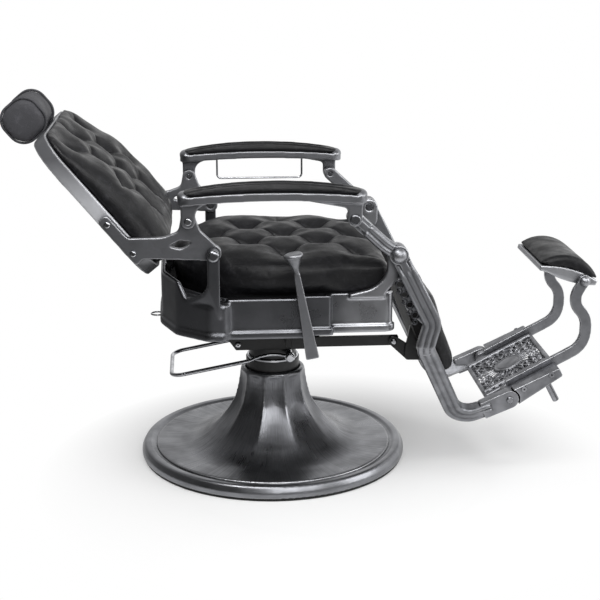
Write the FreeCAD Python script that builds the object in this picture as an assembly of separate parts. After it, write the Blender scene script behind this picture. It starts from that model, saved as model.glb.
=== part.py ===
import FreeCAD, Part
import math
import os
from FreeCAD import Vector

# Barber chair in millimetres. The origin is on the floor at the middle of the stand, +X is the way
# the sitter faces, +Y is the sitter's left and +Z is up. It stands as it is laid back, lowered fully.

# Fits between pieces
fit = 0.05
gap = 0.3
side_gap = 1.0
swing_gap = 3.0

# Floor stand
stand_radius = 330.0
rim_width = 36.0
rim_height = 34.0
rim_groove = 3.0
gasket_inset = 4.0
gasket_thickness = 5.0
floor_plate_thickness = 6.0
disc_thickness = 22.0
flare_radius = 254.0
flare_centre_height = 257.0
foot_radius = 120.0
bell_top_radius = 72.0
bell_top_height = 215.0
bell_lip = 5.0
bell_wall = 16.0
flute_count = 10
flute_depth = 9.0
flute_sections = 7
hollow_share = 0.45

# Hydraulic column
bush_wall = 5.0
bush_length = 60.0
thrust_thickness = 4.0
pump_radius = 45.0
pump_wall = 7.0
pump_floor = 8.0
pump_flange_radius = 66.0
pump_flange_height = 35.0
pump_head_radius = 58.0
pump_head_height = 40.0
collar_ring_width = 6.0
collar_ring_height = 6.0
ram_radius = 25.0
piston_height = 20.0
ram_flange_radius = 48.0
ram_flange_thickness = 8.0
ram_bolt_circle = 74.0
ram_bolt_radius = 4.0
ram_bolt_count = 4

# Foot pump lever
rocker_x = 37.0
rocker_drop = 15.0
rocker_radius = 8.0
lever_rod_radius = 5.0
lever_half_width = 98.0
lever_rise = 7.0
lever_rise_run = 48.0
lever_bend_run = 97.0
lever_bend_drop = 7.0
lever_reach = 287.0
lever_drop = 43.0
lever_corner = 30.0

# Under-seat channel
channel_half_width = 85.0
channel_wall = 6.0
channel_height = 85.0
channel_rear = 112.0
channel_front = 110.0
channel_chamfer_run = 19.0
channel_chamfer_rise = 27.0
spacer_x = 88.0
spacer_rise = 14.0
spacer_radius = 8.0
bolt_radius = 4.0
bolt_head_radius = 7.5
bolt_head_height = 5.0
bearer_width = 36.0
bearer_x = 80.0
bearer_half_length = 205.0

# Cast seat frame
skirt_rise = 4.7
seat_height = 93.0
seat_wall = 10.0
seat_rear = 268.0
seat_side_half = 268.0
seat_side_rear = 122.0
seat_side_front = 120.0
seat_front_inset = 20.0
seat_front = 266.0
seat_corner = 22.0
pilaster_rear = 115.0
pilaster_front = 55.0
pilaster_depth = 17.0
bead_depth = 5.0
bead_height = 17.0
crest_height = 33.0
crest_front = 205.0
recess_front = 224.0
recess_inset = 21.0
seat_board_thickness = 15.0
seat_board_rise = 75.0

# Seat cushion
cushion_gap = 1.0
seat_cushion_rise = 199.0
seat_cushion_bulge = 8.0
seat_cushion_swell = 32.0
seat_shoulder_rise = 139.0
seat_cushion_rear = 236.0
seat_cushion_crown = 120.0
cushion_side_rear = 118.0
cushion_side_front = 150.0
crown_steps = 5
tuft_half_count = (3, 2)
tuft_pitch_x = 96.0
tuft_pitch_y = 104.0
tuft_radius = 26.0
tuft_depth = 15.0
pleat_radius = 5.0

# Recline linkage
back_pivot_x = -146.0
back_pivot_rise = 199.0
leg_pivot_x = 270.0
leg_pivot_rise = 190.0
arm_rear_dx = -54.0
arm_rear_dz = 76.0
arm_front_dx = -102.0
arm_front_dz = 87.0
pivot_radius = 9.0
pivot_head_radius = 14.0
pivot_head_height = 9.0
link_pin_radius = 6.0
link_head_radius = 8.5
link_head_height = 4.0
open_pin_play = 3.0

# Posts and lugs of the seat frame
post_width = 28.0
post_thickness = 26.0
post_foot_drop = 112.0
post_foot_reach = 70.0
post_foot_height = 30.0
post_foot_step = 16.0
post_foot_curve = 46.0
post_foot_chamfer = 12.0
post_foot_round = 4.0
lug_thickness = 18.0
lug_hub_radius = 22.0
lug_foot_reach = 108.0
lug_curve = 60.0
lug_shoulder_drop = 40.0
lug_shoulder_round = 20.0

# Backrest
back_angle = 50.5
back_inset = 8.0
back_low = 46.0
back_height = 387.0
back_plane = 152.0
back_rim_depth = 34.0
back_rim_width = 14.0
back_corner = 78.0
back_panel_thickness = 12.0
back_cushion_depth = 82.0
back_cushion_crown = 110.0
back_cushion_shoulder = 18.0
back_tuft_pitch_y = 118.0
back_tuft_pitch_u = 92.0
bracket_thickness = 16.0
bracket_hub_radius = 19.0
bracket_bolt_u = (114.0, 200.0)
bracket_strip_half = 13.5
bracket_strip_end = 18.0
bracket_strip_start = 30.0
bracket_throat_run = 34.0
bracket_neck_foot = (55.0, 38.0)
bracket_neck_rear = (22.0, 50.0)
bracket_neck_front = (26.0, 52.0)
bracket_neck_round = 30.0
bracket_round = 8.0
bracket_eye = ((-100.0, 18.0), (-70.0, 10.0), (-44.0, 27.0), (-74.0, 31.0))
bracket_eye_rounds = (3.0, 18.0)

# Headrest
head_length = 196.0
head_section = 102.0
head_corner = 30.0
head_end_round = 14.0
head_offset = 50.0
head_post_width = 60.0
head_post_thickness = 8.0
head_post_depth = 170.0
head_post_insert = 40.0
head_guide_wall = 4.0
head_guide_length = 120.0

# Armrests
armrest_outset = 12.0
armrest_width = 64.0
armrest_rear = 222.0
armrest_front = 196.0
armrest_rise = 335.0
armrest_thickness = 18.0
armrest_crown = 5.0
armrest_end_round = 26.0
armrest_ear_thickness = 16.0
armrest_hub_radius = 16.0
ear_rear_run = 62.0
ear_front_run = 110.0
ear_neck_drop = 14.0
ear_neck_round = 12.0
ear_rear_curve = 26.0
ear_sink = 4.0
pad_inset = 4.0
pad_height = 18.0
pad_round = 8.0
rail_radius = 2.5
rail_rear = 127.0
rail_front = 93.0
rail_drop = 48.0
rail_corner = 10.0
rail_socket = 6.0

# Leg rest
leg_outset = 6.0
leg_lean = 29.0
leg_width = 38.0
leg_thickness = 24.0
leg_rib_width = 16.0
leg_rib_height = 4.0
crank_width = 32.0
crank_sag = 26.0
knee_dx = 82.0
knee_dz = -163.0
jog_dx = 66.0
jog_dz = -221.0
elbow_dx = 168.0
elbow_dz = -436.0
toe_dx = 250.0
toe_dz = -411.0
knee_radius = 32.0
elbow_radius = 48.0
knuckle_dx = 293.0
knuckle_dz = -390.0
knuckle_radius = 22.0
knuckle_thickness = 28.0
knuckle_inset = 106.0
scroll_thickness = 8.0
scroll_width = 40.0
scroll_holes = 4
scroll_hole_radius = 7.0
calf_top_dx = 22.0
calf_top_dz = -121.0
calf_angle = 20.0
calf_length = 226.0
calf_top_inset = 53.0
calf_bottom_inset = 98.0
calf_board_thickness = 30.0
calf_cushion_thickness = 42.0
calf_bolt_radius = 7.0
calf_bolt_depth = 30.0
calf_bolt_at = (104.0, 190.0)

# Recline lock strut
sleeve_x = 60.0
sleeve_rise = 22.0
sleeve_length = 40.0
sleeve_inner_wall = 7.0
sleeve_outer_wall = 3.0
strut_height = 24.0
strut_thickness = 10.0
strut_rear = 15.0
strut_front = 240.0
strut_link_thickness = 8.0
strut_pin_at = 170.0
strut_pin_out = 24.0
strut_pin_play = 6.5
strut_bracket_rise = 70.0
strut_bracket_drop = 24.0

# Recline hand lever
hand_shaft_x = 71.0
hand_shaft_drop = 23.0
hand_shaft_radius = 8.0
shaft_collar_wall = 4.0
shaft_collar_length = 8.0
hand_lever_gap = 14.0
hand_lever_thickness = 12.0
hand_lever_foot = 18.0
hand_lever_base = 15.0
hand_lever_neck = 6.5
hand_lever_lean = 33.0
hand_lever_height = 182.0
hand_knob_height = 46.0
hand_knob_radius = 23.0

# Footrest
plate_slope = 28.0
plate_length = 190.0
plate_inset = 50.0
plate_thickness = 10.0
plate_pin_run = 50.0
plate_pin_drop = 13.0
plate_border = 14.0
plate_disc_radius = 25.0
plate_ring_width = 6.0
plate_boss_height = 3.0
plate_ring_height = 1.5
slot_rows = 8
slot_columns = 9
slot_width = 9.0
cheek_thickness = 20.0
block_rear_height = 42.0
block_front_height = 22.0
tie_radius = 3.5
tie_depth = 30.0
tie_head_height = 3.0
block_lip = 6.0
block_round = 4.0
peg_socket = 14.0
tie_at = (92.0, 166.0)
peg_at = 149.0
peg_radius = 8.0
peg_length = 54.0
s_arm_width = 27.0
s_arm_thickness = 12.0
s_arm_start = 62.0
s_bow_run = 206.0
s_bow_rise = 70.0
s_waist_in = 38.0
s_waist_rise = 42.0
s_hub_in = 9.0
s_hub_rise = 92.0
s_hub_radius = 14.0
s_bow_radius = 52.0
s_waist_radius = 24.0

# Pad on the footrest
rest_slope = 16.0
rest_rear = 112.0
rest_front = 34.0
rest_shell_low = 6.0
rest_wall = 4.0
rest_shell_edge = 6.0
rest_shell_high = 17.0
rest_cushion_height = 36.0
rest_wrap = 4.0
rest_round = 12.0
rest_boss_length = 24.0
rest_pin_radius = 7.0

# Strap ring at the rear of the seat
ring_radius = 14.0
ring_wire = 2.0
ring_angle = 15.0
ring_lug = 9.0
ring_play = 1.0

# Values that follow from the sizes above
floor_plate_top = gasket_thickness + floor_plate_thickness
disc_top = floor_plate_top + disc_thickness
disc_radius = stand_radius - rim_width
flare_centre_r = bell_top_radius + math.sqrt(flare_radius ** 2 - (flare_centre_height - bell_top_height) ** 2)
bush_radius = pump_radius + fit + bush_wall
pump_bottom = floor_plate_top + thrust_thickness
flange_bottom = bell_top_height + gap
pump_top = flange_bottom + pump_flange_height
head_top = pump_top + pump_head_height
rocker_z = head_top - rocker_drop
channel_bottom = head_top + side_gap
channel_top = channel_bottom + channel_height
channel_inner = channel_half_width - channel_wall
ram_top = channel_top - channel_wall
seat_bottom = channel_top + skirt_rise
seat_board_top = seat_bottom + seat_board_rise
seat_cushion_top = seat_bottom + seat_cushion_rise
seat_cushion_shoulder = seat_bottom + seat_shoulder_rise
seat_front_half = seat_side_half - seat_front_inset
recess_half = seat_front_half - recess_inset
back_half_width = seat_side_half - back_inset
back_pivot_z = seat_bottom + back_pivot_rise
leg_pivot_z = seat_bottom + leg_pivot_rise
armrest_top = seat_bottom + armrest_rise
armrest_centre = seat_side_half + armrest_outset
leg_plane = seat_side_half + leg_outset
calf_top_half = leg_plane - calf_top_inset
calf_bottom_half = leg_plane - calf_bottom_inset
knuckle_plane = leg_plane - knuckle_inset
plate_half_width = knuckle_plane - plate_inset
seat_top = seat_bottom + seat_height
seat_board_bottom = seat_board_top - seat_board_thickness
pilaster_half = seat_side_half + pilaster_depth
bracket_inner = back_half_width
bracket_outer = bracket_inner + bracket_thickness
post_inner = bracket_outer + side_gap
post_outer = post_inner + post_thickness
arm_rear_x = back_pivot_x + arm_rear_dx
arm_rear_z = back_pivot_z + arm_rear_dz
arm_front_x = leg_pivot_x + arm_front_dx
arm_front_z = leg_pivot_z + arm_front_dz
crank_inner = leg_plane - leg_thickness / 2
crank_outer = leg_plane + leg_thickness / 2
lug_outer = crank_inner - side_gap
lug_inner = lug_outer - lug_thickness
knuckle_x = leg_pivot_x + knuckle_dx
knuckle_z = leg_pivot_z + knuckle_dz
knuckle_inner = knuckle_plane - knuckle_thickness / 2
knuckle_outer = knuckle_plane + knuckle_thickness / 2
s_arm_outer = plate_half_width + s_arm_thickness
cheek_outer = s_arm_outer + cheek_thickness
sleeve_z = channel_bottom + sleeve_rise
strut_inner = channel_half_width + side_gap + sleeve_inner_wall
strut_outer = strut_inner + strut_thickness
hand_shaft_z = seat_bottom - hand_shaft_drop
hand_lever_inner = pilaster_half + bead_depth + hand_lever_gap
calf_lean = math.radians(calf_angle)
strut_pin_x = (leg_pivot_x + calf_top_dx + strut_pin_at * math.sin(calf_lean)
               - strut_pin_out * math.cos(calf_lean))
strut_pin_z = (leg_pivot_z + calf_top_dz - strut_pin_at * math.cos(calf_lean)
               - strut_pin_out * math.sin(calf_lean))


# Drawing helpers

def direction(a, b):
    """Unit vector from one flat point to another."""
    length = math.hypot(b[0] - a[0], b[1] - a[1])
    return ((b[0] - a[0]) / length, (b[1] - a[1]) / length)


def rounded(points, place):
    """Closed wire through corners (a, b, radius), with tangent arcs at the rounded ones."""
    edges = []
    ends = []
    count = len(points)
    for i in range(count):
        a, b, radius = points[i]
        before = direction((a, b), points[i - 1])
        after = direction((a, b), points[(i + 1) % count])
        cosine = max(-1.0, min(1.0, before[0] * after[0] + before[1] * after[1]))
        half = math.acos(cosine) / 2
        if radius <= 0 or half > math.pi / 2 - 1e-4:
            ends.append((place(a, b), None, place(a, b)))
            continue
        run = radius / math.tan(half)
        start = (a + before[0] * run, b + before[1] * run)
        end = (a + after[0] * run, b + after[1] * run)
        middle = direction((a, b), ((start[0] + end[0]) / 2, (start[1] + end[1]) / 2))
        depth = radius / math.sin(half) - radius
        crown = (a + middle[0] * depth, b + middle[1] * depth)
        ends.append((place(*start), place(*crown), place(*end)))
    for i in range(count):
        start, crown, end = ends[i]
        if crown is not None:
            edges.append(Part.Arc(start, crown, end).toShape())
        following = ends[(i + 1) % count][0]
        if (following - end).Length > 1e-6:
            edges.append(Part.LineSegment(end, following).toShape())
    return Part.Wire(edges)


def side_plate(points, near, far):
    """Plate with an outline in X and Z, from one Y to another."""
    wire = rounded(points, lambda a, b: Vector(a, near, b))
    return Part.Face(wire).extrude(Vector(0, far - near, 0))


def plan_plate(points, low, high):
    """Plate with an outline in X and Y, from one Z to another."""
    wire = rounded(points, lambda a, b: Vector(a, b, low))
    return Part.Face(wire).extrude(Vector(0, 0, high - low))


def band(points, radii, widths):
    """Outline of a bar that follows a path, with a width at each point of the path."""
    left = []
    right = []
    last = len(points) - 1
    for i, (a, b) in enumerate(points):
        before = direction(points[i - 1], points[i]) if i else direction(points[0], points[1])
        after = direction(points[i], points[i + 1]) if i < last else before
        turn = before[0] * after[1] - before[1] * after[0]
        share = 1 + before[0] * after[0] + before[1] * after[1]
        out = (-(before[1] + after[1]) / share, (before[0] + after[0]) / share)
        half = widths[i] / 2
        inner = max(radii[i] - half, 0.0)
        outer = radii[i] + half if radii[i] else 0.0
        left_radius = inner if turn > 0 else outer
        right_radius = outer if turn > 0 else inner
        left.append((a + out[0] * half, b + out[1] * half, left_radius))
        right.append((a - out[0] * half, b - out[1] * half, right_radius))
    return left + right[::-1]


def pin(x, z, radius, near, far):
    """Round pin along Y."""
    return Part.makeCylinder(radius, abs(far - near), Vector(x, min(near, far), z), Vector(0, 1, 0))


def post(x, y, radius, low, high):
    """Round post along Z."""
    return Part.makeCylinder(radius, high - low, Vector(x, y, low))


def tube(outer, inner, low, high):
    """Ring or tube about the middle of the stand."""
    return post(0, 0, outer, low, high).cut(post(0, 0, inner, low - 1, high + 1))


def headed(x, z, shank, head, head_height, start, seat):
    """Pin along Y with a domed head outside its seat, on the left side."""
    cap = pin(x, z, head, seat, seat + head_height)
    crown = head_height * 0.8
    rim = [edge for edge in cap.Edges if abs(edge.CenterOfMass.y - seat - head_height) < 1e-3]
    cap = cap.makeFillet(crown, rim)
    return pin(x, z, shank, start, seat).fuse(cap).removeSplitter()


def right(shape):
    """The right-hand copy of a left-hand shape."""
    return shape.mirror(Vector(0, 0, 0), Vector(0, 1, 0))


def pair(shape):
    """A left-hand solid and its right-hand copy."""
    return [shape, right(shape)]


def group(solids):
    """Several loose solids as one piece."""
    return Part.makeCompound(solids)


def box(x0, y0, z0, x1, y1, z1):
    """Box between two corners."""
    return Part.makeBox(x1 - x0, y1 - y0, z1 - z0, Vector(x0, y0, z0))


def on_back(u, n):
    """Point on the backrest: u up along it and n forward from the pivot's line."""
    tilt = math.radians(back_angle)
    x = back_pivot_x - u * math.cos(tilt) + (n - back_plane) * math.sin(tilt)
    z = back_pivot_z + u * math.sin(tilt) + (n - back_plane) * math.cos(tilt)
    return Vector(x, 0, z)


def lay_on_back(shape):
    """Move a shape drawn with X across, Y up the backrest and Z forward to its place."""
    tilt = math.radians(back_angle)
    up = Vector(-math.cos(tilt), 0, math.sin(tilt))
    ahead = Vector(math.sin(tilt), 0, math.cos(tilt))
    across = up.cross(ahead)
    base = on_back(0, 0)
    moved = FreeCAD.Matrix(
        across.x, up.x, ahead.x, base.x,
        across.y, up.y, ahead.y, base.y,
        across.z, up.z, ahead.z, base.z,
        0, 0, 0, 1)
    placed = shape.copy()
    placed.Placement = FreeCAD.Placement(moved).multiply(placed.Placement)
    return placed


def lay_on_plate(shape):
    """Move a shape drawn with X forward and Z up from the foot plate's rear edge to its place."""
    slope = math.radians(plate_slope)
    x = knuckle_x - plate_pin_run * math.cos(slope) - plate_pin_drop * math.sin(slope)
    z = knuckle_z - plate_pin_run * math.sin(slope) + plate_pin_drop * math.cos(slope)
    placed = shape.copy()
    placed.rotate(Vector(0, 0, 0), Vector(0, 1, 0), -plate_slope)
    placed.translate(Vector(x, 0, z))
    return placed


def lean_in(shape):
    """Lean a left lower arm inwards about the height where it leaves the upright one."""
    placed = shape.copy()
    placed.rotate(Vector(0, leg_plane, leg_pivot_z + jog_dz), Vector(1, 0, 0), -leg_lean)
    return placed


# Floor stand

def flare_at(height):
    """Radius of the bell's flare at a height."""
    return flare_centre_r - math.sqrt(flare_radius ** 2 - (flare_centre_height - height) ** 2)


def flare_end():
    """Where the flare runs into the curve of the foot: centre of that curve and the meeting point."""
    rise = flare_centre_height - disc_top - foot_radius
    reach = flare_radius - foot_radius
    foot_r = flare_centre_r - math.sqrt(reach ** 2 - rise ** 2)
    meet_r = flare_centre_r - (flare_centre_r - foot_r) * flare_radius / reach
    meet_z = flare_centre_height - rise * flare_radius / reach
    return foot_r, meet_r, meet_z


def fluted_section(height, radius, depth):
    """Section of the bell with one hollow between each pair of ridges."""
    edges = []
    step = 2 * math.pi / flute_count
    for i in range(flute_count):
        start = step * i
        ends = [Vector(radius * math.cos(a), radius * math.sin(a), height) for a in (start, start + step)]
        low = radius - depth
        centre = Vector(low * math.cos(start + step / 2), low * math.sin(start + step / 2), height)
        edges.append(Part.Arc(ends[0], centre, ends[1]).toShape())
    return Part.Wire(edges)


def stand_casting():
    """Bell with hollow flutes that runs out into the floor disc, hollow below."""
    foot_r, meet_r, meet_z = flare_end()
    sections = []
    for i in range(flute_sections):
        share = i / (flute_sections - 1)
        height = bell_top_height - (bell_top_height - meet_z) * share
        depth = flute_depth * math.sin(math.pi * share) ** 0.8
        sections.append(fluted_section(height, flare_at(height), depth))
    bell = Part.makeLoft(sections, True, False)
    sweep = math.acos((disc_top + foot_radius - meet_z) / foot_radius) / 2
    foot_mid = Vector(foot_r - foot_radius * math.sin(sweep), 0,
                      disc_top + foot_radius * (1 - math.cos(sweep)))
    foot_arc = Part.Arc(Vector(meet_r, 0, meet_z), foot_mid, Vector(foot_r, 0, disc_top)).toShape()
    rest = Part.makePolygon([
        Vector(foot_r, 0, disc_top), Vector(disc_radius, 0, disc_top),
        Vector(disc_radius, 0, floor_plate_top),
        Vector(0, 0, floor_plate_top), Vector(0, 0, meet_z), Vector(meet_r, 0, meet_z)])
    disc = Part.Face(Part.Wire([foot_arc] + rest.Edges)).revolve(Vector(0, 0, 0), Vector(0, 0, 1), 360)
    body = bell.fuse(disc).removeSplitter()
    hollow_low = floor_plate_top + disc_thickness * hollow_share
    hollow_height = bell_top_height - bush_length - hollow_low
    hollow = Part.makeCone(meet_r - bell_wall, bush_radius + bell_wall, hollow_height, Vector(0, 0, hollow_low))
    under = post(0, 0, disc_radius - bell_wall, floor_plate_top, hollow_low)
    bore = post(0, 0, bush_radius + fit, floor_plate_top, bell_top_height + 1)
    lip = tube(bell_top_radius + bell_lip, bush_radius + fit, bell_top_height - bell_lip * 2, bell_top_height)
    return body.cut(hollow).cut(under).fuse(lip).cut(bore).removeSplitter()


def stand_rim():
    """Rolled trim ring round the disc, with a groove inside it."""
    centre = (disc_radius + rim_groove + stand_radius) / 2
    half = (stand_radius - disc_radius - rim_groove) / 2
    low = gasket_thickness
    outline = [(centre - half, low, 2), (centre + half, low, 4),
               (centre + half, rim_height * 0.55, half * 0.8),
               (centre + half * 0.5, rim_height, half * 0.5), (centre - half * 0.5, rim_height, half * 0.45),
               (centre - half, rim_height * 0.75, half * 0.4)]
    wire = rounded(outline, lambda a, b: Vector(a, 0, b))
    ring = Part.Face(wire).revolve(Vector(0, 0, 0), Vector(0, 0, 1), 360)
    return ring


def floor_gasket():
    """Rubber mat that the stand rests on."""
    return post(0, 0, stand_radius - gasket_inset, 0, gasket_thickness)


def floor_plate():
    """Steel plate that closes the stand and carries the column."""
    return post(0, 0, disc_radius, gasket_thickness, floor_plate_top)


def swivel_bush():
    """Bronze bush in the neck of the bell."""
    return tube(bush_radius, pump_radius + fit, bell_top_height - bush_length, bell_top_height)


def thrust_washer():
    """Bronze washer under the column."""
    return post(0, 0, pump_radius, floor_plate_top, pump_bottom)


# Hydraulic column

def pump_cylinder():
    """Oil cylinder with the black flange that covers the neck of the bell."""
    body = post(0, 0, pump_radius, pump_bottom, flange_bottom)
    flange = post(0, 0, pump_flange_radius, flange_bottom, pump_top)
    bore = post(0, 0, pump_radius - pump_wall, pump_bottom + pump_floor, pump_top + 1)
    return body.fuse(flange).cut(bore).removeSplitter()


def pump_head():
    """Gland head with the bore of the ram and of the rocker shaft."""
    head = post(0, 0, pump_head_radius, pump_top, head_top)
    head = head.cut(post(0, 0, ram_radius + fit, pump_top - 1, head_top + 1))
    return head.cut(pin(rocker_x, rocker_z, rocker_radius + fit, -pump_head_radius, pump_head_radius))


def collar_ring():
    """Bright ring round the foot of the head."""
    inner = pump_head_radius + gap
    ring = tube(pump_head_radius + collar_ring_width, inner, pump_top, pump_top + collar_ring_height)
    rim = [edge for edge in ring.Edges if edge.CenterOfMass.z > pump_top + 1 and edge.Length > 300]
    return ring.makeFillet(collar_ring_width * 0.3, rim)


def rocker_shaft():
    """Shaft that the pump lever turns."""
    return pin(rocker_x, rocker_z, rocker_radius, -lever_half_width - lever_rod_radius,
               lever_half_width + lever_rod_radius)


def pump_lever():
    """Bent bar from one end of the rocker shaft round to the other."""
    y = lever_half_width
    bend_x = rocker_x - lever_bend_run
    end_x = rocker_x - lever_reach
    end_z = rocker_z - lever_drop
    crest = Vector(rocker_x - lever_rise_run, y, rocker_z + lever_rise)
    bend = Vector(bend_x, y, rocker_z - lever_bend_drop)
    start = Vector(rocker_x, y, rocker_z)
    slope = (Vector(end_x, y, end_z) - bend).normalize()
    corner_in = Vector(end_x, y, end_z) - slope * lever_corner
    corner_out = Vector(end_x, y - lever_corner, end_z)
    diagonal = lever_corner * (1 - math.sqrt(0.5))
    corner_mid = Vector(end_x, y, end_z) - slope * diagonal + Vector(0, -diagonal, 0)
    half = [Part.Arc(start, crest, bend).toShape(), Part.LineSegment(bend, corner_in).toShape(),
            Part.Arc(corner_in, corner_mid, corner_out).toShape()]
    across = Part.LineSegment(corner_out, Vector(end_x, -corner_out.y, end_z)).toShape()
    other = [edge.mirror(Vector(0, 0, 0), Vector(0, 1, 0)) for edge in half]
    path = Part.Wire(Part.__sortEdges__(half + [across] + other))
    tangent = path.OrderedEdges[0].tangentAt(path.OrderedEdges[0].FirstParameter)
    section = Part.Wire(Part.makeCircle(lever_rod_radius, path.OrderedVertexes[0].Point, tangent))
    bar = path.makePipeShell([section], True, True)
    bar = Part.Solid(bar) if bar.ShapeType == "Shell" else bar
    eye = pin(rocker_x, rocker_z, rocker_radius * 1.5, y - lever_rod_radius, y + lever_rod_radius)
    bore = pin(rocker_x, rocker_z, rocker_radius + fit, -y - lever_rod_radius - 1, y + lever_rod_radius + 1)
    return bar.fuse([eye, right(eye)]).cut(bore).removeSplitter()


def lever_caps():
    """Bright caps on the ends of the rocker shaft."""
    start = lever_half_width + lever_rod_radius
    return pair(headed(rocker_x, rocker_z, rocker_radius * 0.5, rocker_radius * 1.4, bolt_head_height,
                       start, start + 1))


def ram():
    """Polished ram with the flange that carries the seat."""
    low = pump_bottom + pump_floor + gap + piston_height
    rod = post(0, 0, ram_radius, low, ram_top)
    flange = post(0, 0, ram_flange_radius, ram_top - ram_flange_thickness, ram_top)
    return rod.fuse(flange).removeSplitter().cut(ram_bolt_holes(ram_bolt_radius + fit))


def ram_piston():
    """Piston at the foot of the ram."""
    low = pump_bottom + pump_floor + gap
    return post(0, 0, pump_radius - pump_wall - fit, low, low + piston_height)


def ram_bolt_places():
    """Middles of the bolts on the ram's flange."""
    radius = ram_bolt_circle / 2
    angles = [2 * math.pi * (i + 0.5) / ram_bolt_count for i in range(ram_bolt_count)]
    return [(radius * math.cos(a), radius * math.sin(a)) for a in angles]


def ram_bolt_holes(radius):
    """Holes for the flange bolts, through the flange and the channel."""
    low = ram_top - ram_flange_thickness - 1
    return group([post(x, y, radius, low, channel_top + 1) for x, y in ram_bolt_places()])


def ram_bolts():
    """Bolts that hold the channel on the ram."""
    bolts = []
    for x, y in ram_bolt_places():
        low = ram_top - ram_flange_thickness
        head = post(x, y, ram_bolt_radius * 1.7, low - ram_bolt_radius, low)
        bolts.append(head.fuse(post(x, y, ram_bolt_radius, low, channel_top)).removeSplitter())
    return bolts


# Seat

def channel():
    """Black steel channel under the seat, open below."""
    outline = [(-channel_rear, channel_top, 4), (-channel_rear, channel_bottom + channel_chamfer_rise, 4),
               (channel_chamfer_run - channel_rear, channel_bottom, 4),
               (channel_front - channel_chamfer_run, channel_bottom, 4),
               (channel_front, channel_bottom + channel_chamfer_rise, 4), (channel_front, channel_top, 4)]
    body = side_plate(outline, -channel_half_width, channel_half_width)
    inside = box(-channel_rear - 1, -channel_inner, channel_bottom - 1,
                 channel_front + 1, channel_inner, ram_top)
    body = body.cut(inside).cut(ram_bolt_holes(ram_bolt_radius + fit))
    for x, z in spacer_places():
        body = body.cut(pin(x, z, bolt_radius + fit, -channel_half_width - 1, channel_half_width + 1))
    body = body.cut(pin(sleeve_x, sleeve_z, link_pin_radius + fit, -channel_half_width - 1, 0))
    return body.cut(pin(hand_shaft_x, hand_shaft_z, hand_shaft_radius + fit, -channel_half_width - 1, 0))


def spacer_places():
    """X and Z of the cross bolts in the channel."""
    height = channel_bottom + spacer_rise
    return [(-spacer_x, height), (spacer_x, height)]


def channel_spacers():
    """Tubes that hold the channel's sides apart."""
    tubes = []
    for x, z in spacer_places():
        outer = pin(x, z, spacer_radius, -channel_inner, channel_inner)
        tubes.append(outer.cut(pin(x, z, bolt_radius + fit, -channel_half_width, channel_half_width)))
    return group(tubes)


def channel_bolts():
    """Bright bolts through the spacers."""
    bolts = []
    for x, z in spacer_places():
        half = headed(x, z, bolt_radius, bolt_head_radius, bolt_head_height, 0, channel_half_width)
        bolts.append(half.fuse(right(half)).removeSplitter())
    return bolts


def seat_bearers():
    """Two steel bearers between the channel and the seat board."""
    bars = []
    for x in (-bearer_x, bearer_x):
        bars.append(box(x - bearer_width / 2, -bearer_half_length, channel_top,
                        x + bearer_width / 2, bearer_half_length, seat_board_bottom))
    return group(bars)


def seat_outline(grow):
    """Plan of the cast seat frame, grown or shrunk evenly."""
    rear_y = seat_side_half + grow
    outline = [(seat_front + grow, -seat_front_half - grow, seat_corner + grow),
               (seat_front + grow, seat_front_half + grow, seat_corner + grow),
               (seat_side_front + grow, seat_front_half + grow, 0),
               (seat_side_front + grow, rear_y, 6),
               (-seat_side_rear, rear_y, 0)]
    start = Vector(-seat_side_rear, rear_y, 0)
    end = Vector(-seat_side_rear, -rear_y, 0)
    return outline, start, Vector(-seat_rear - grow, 0, 0), end


def seat_prism(grow, low, high):
    """Solid with the seat frame's plan between two heights."""
    outline, start, middle, end = seat_outline(grow)
    mirrored = [(a, -b, r) for a, b, r in outline[:1:-1]]
    corners = mirrored + outline[:1] + outline[1:]
    wire = rounded(corners, lambda a, b: Vector(a, b, low))
    lift = Vector(0, 0, low)
    bow = Part.Arc(start + lift, middle + lift, end + lift).toShape()
    chord = [edge for edge in wire.Edges if abs(edge.CenterOfMass.x + seat_side_rear) < 1e-3]
    edges = [edge for edge in wire.Edges if not any(edge.isSame(c) for c in chord)]
    closed = Part.Wire(Part.__sortEdges__(edges + [bow]))
    return Part.Face(closed).extrude(Vector(0, 0, high - low))


def seat_frame():
    """Cast skirt of the seat with its bead, side panels, rear crest, posts and front lugs."""
    skirt = seat_prism(0, seat_bottom, seat_top)
    skirt = skirt.fuse(seat_prism(bead_depth, seat_bottom, seat_bottom + bead_height))
    panel = box(-pilaster_rear, 0, seat_bottom, pilaster_front, pilaster_half, seat_top)
    bead = box(-pilaster_rear - bead_depth, 0, seat_bottom,
               pilaster_front + bead_depth, pilaster_half + bead_depth, seat_bottom + bead_height)
    skirt = skirt.fuse([panel, right(panel), bead, right(bead)])
    crest = seat_prism(0, seat_top, seat_top + crest_height)
    crest = crest.common(box(-seat_rear - 1, -seat_rear, seat_top,
                             -crest_front, seat_rear, seat_top + crest_height))
    skirt = skirt.fuse(crest).cut(seat_prism(-seat_wall, seat_bottom - 1, seat_top + crest_height + 1))
    lugs = [rear_post(), front_lug()]
    skirt = skirt.fuse(lugs + [right(lug) for lug in lugs])
    skirt = skirt.cut(seat_prism(-seat_wall, seat_bottom - 1, seat_top))
    skirt = skirt.cut(box(recess_front, -recess_half, seat_bottom - 1,
                          seat_front + bead_depth + 1, recess_half, seat_top + 1))
    inner = seat_front_half - seat_wall / 2
    wall = box(recess_front - seat_wall, -inner, seat_bottom, recess_front, inner, seat_board_top)
    lug = ring_eye()
    skirt = skirt.fuse([wall, lug])
    holes = [pin(back_pivot_x, back_pivot_z, pivot_radius + fit, 0, post_outer + 1),
             pin(leg_pivot_x, leg_pivot_z, pivot_radius + fit, 0, lug_outer + 1)]
    return skirt.cut(holes + [right(hole) for hole in holes]).removeSplitter()


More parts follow.
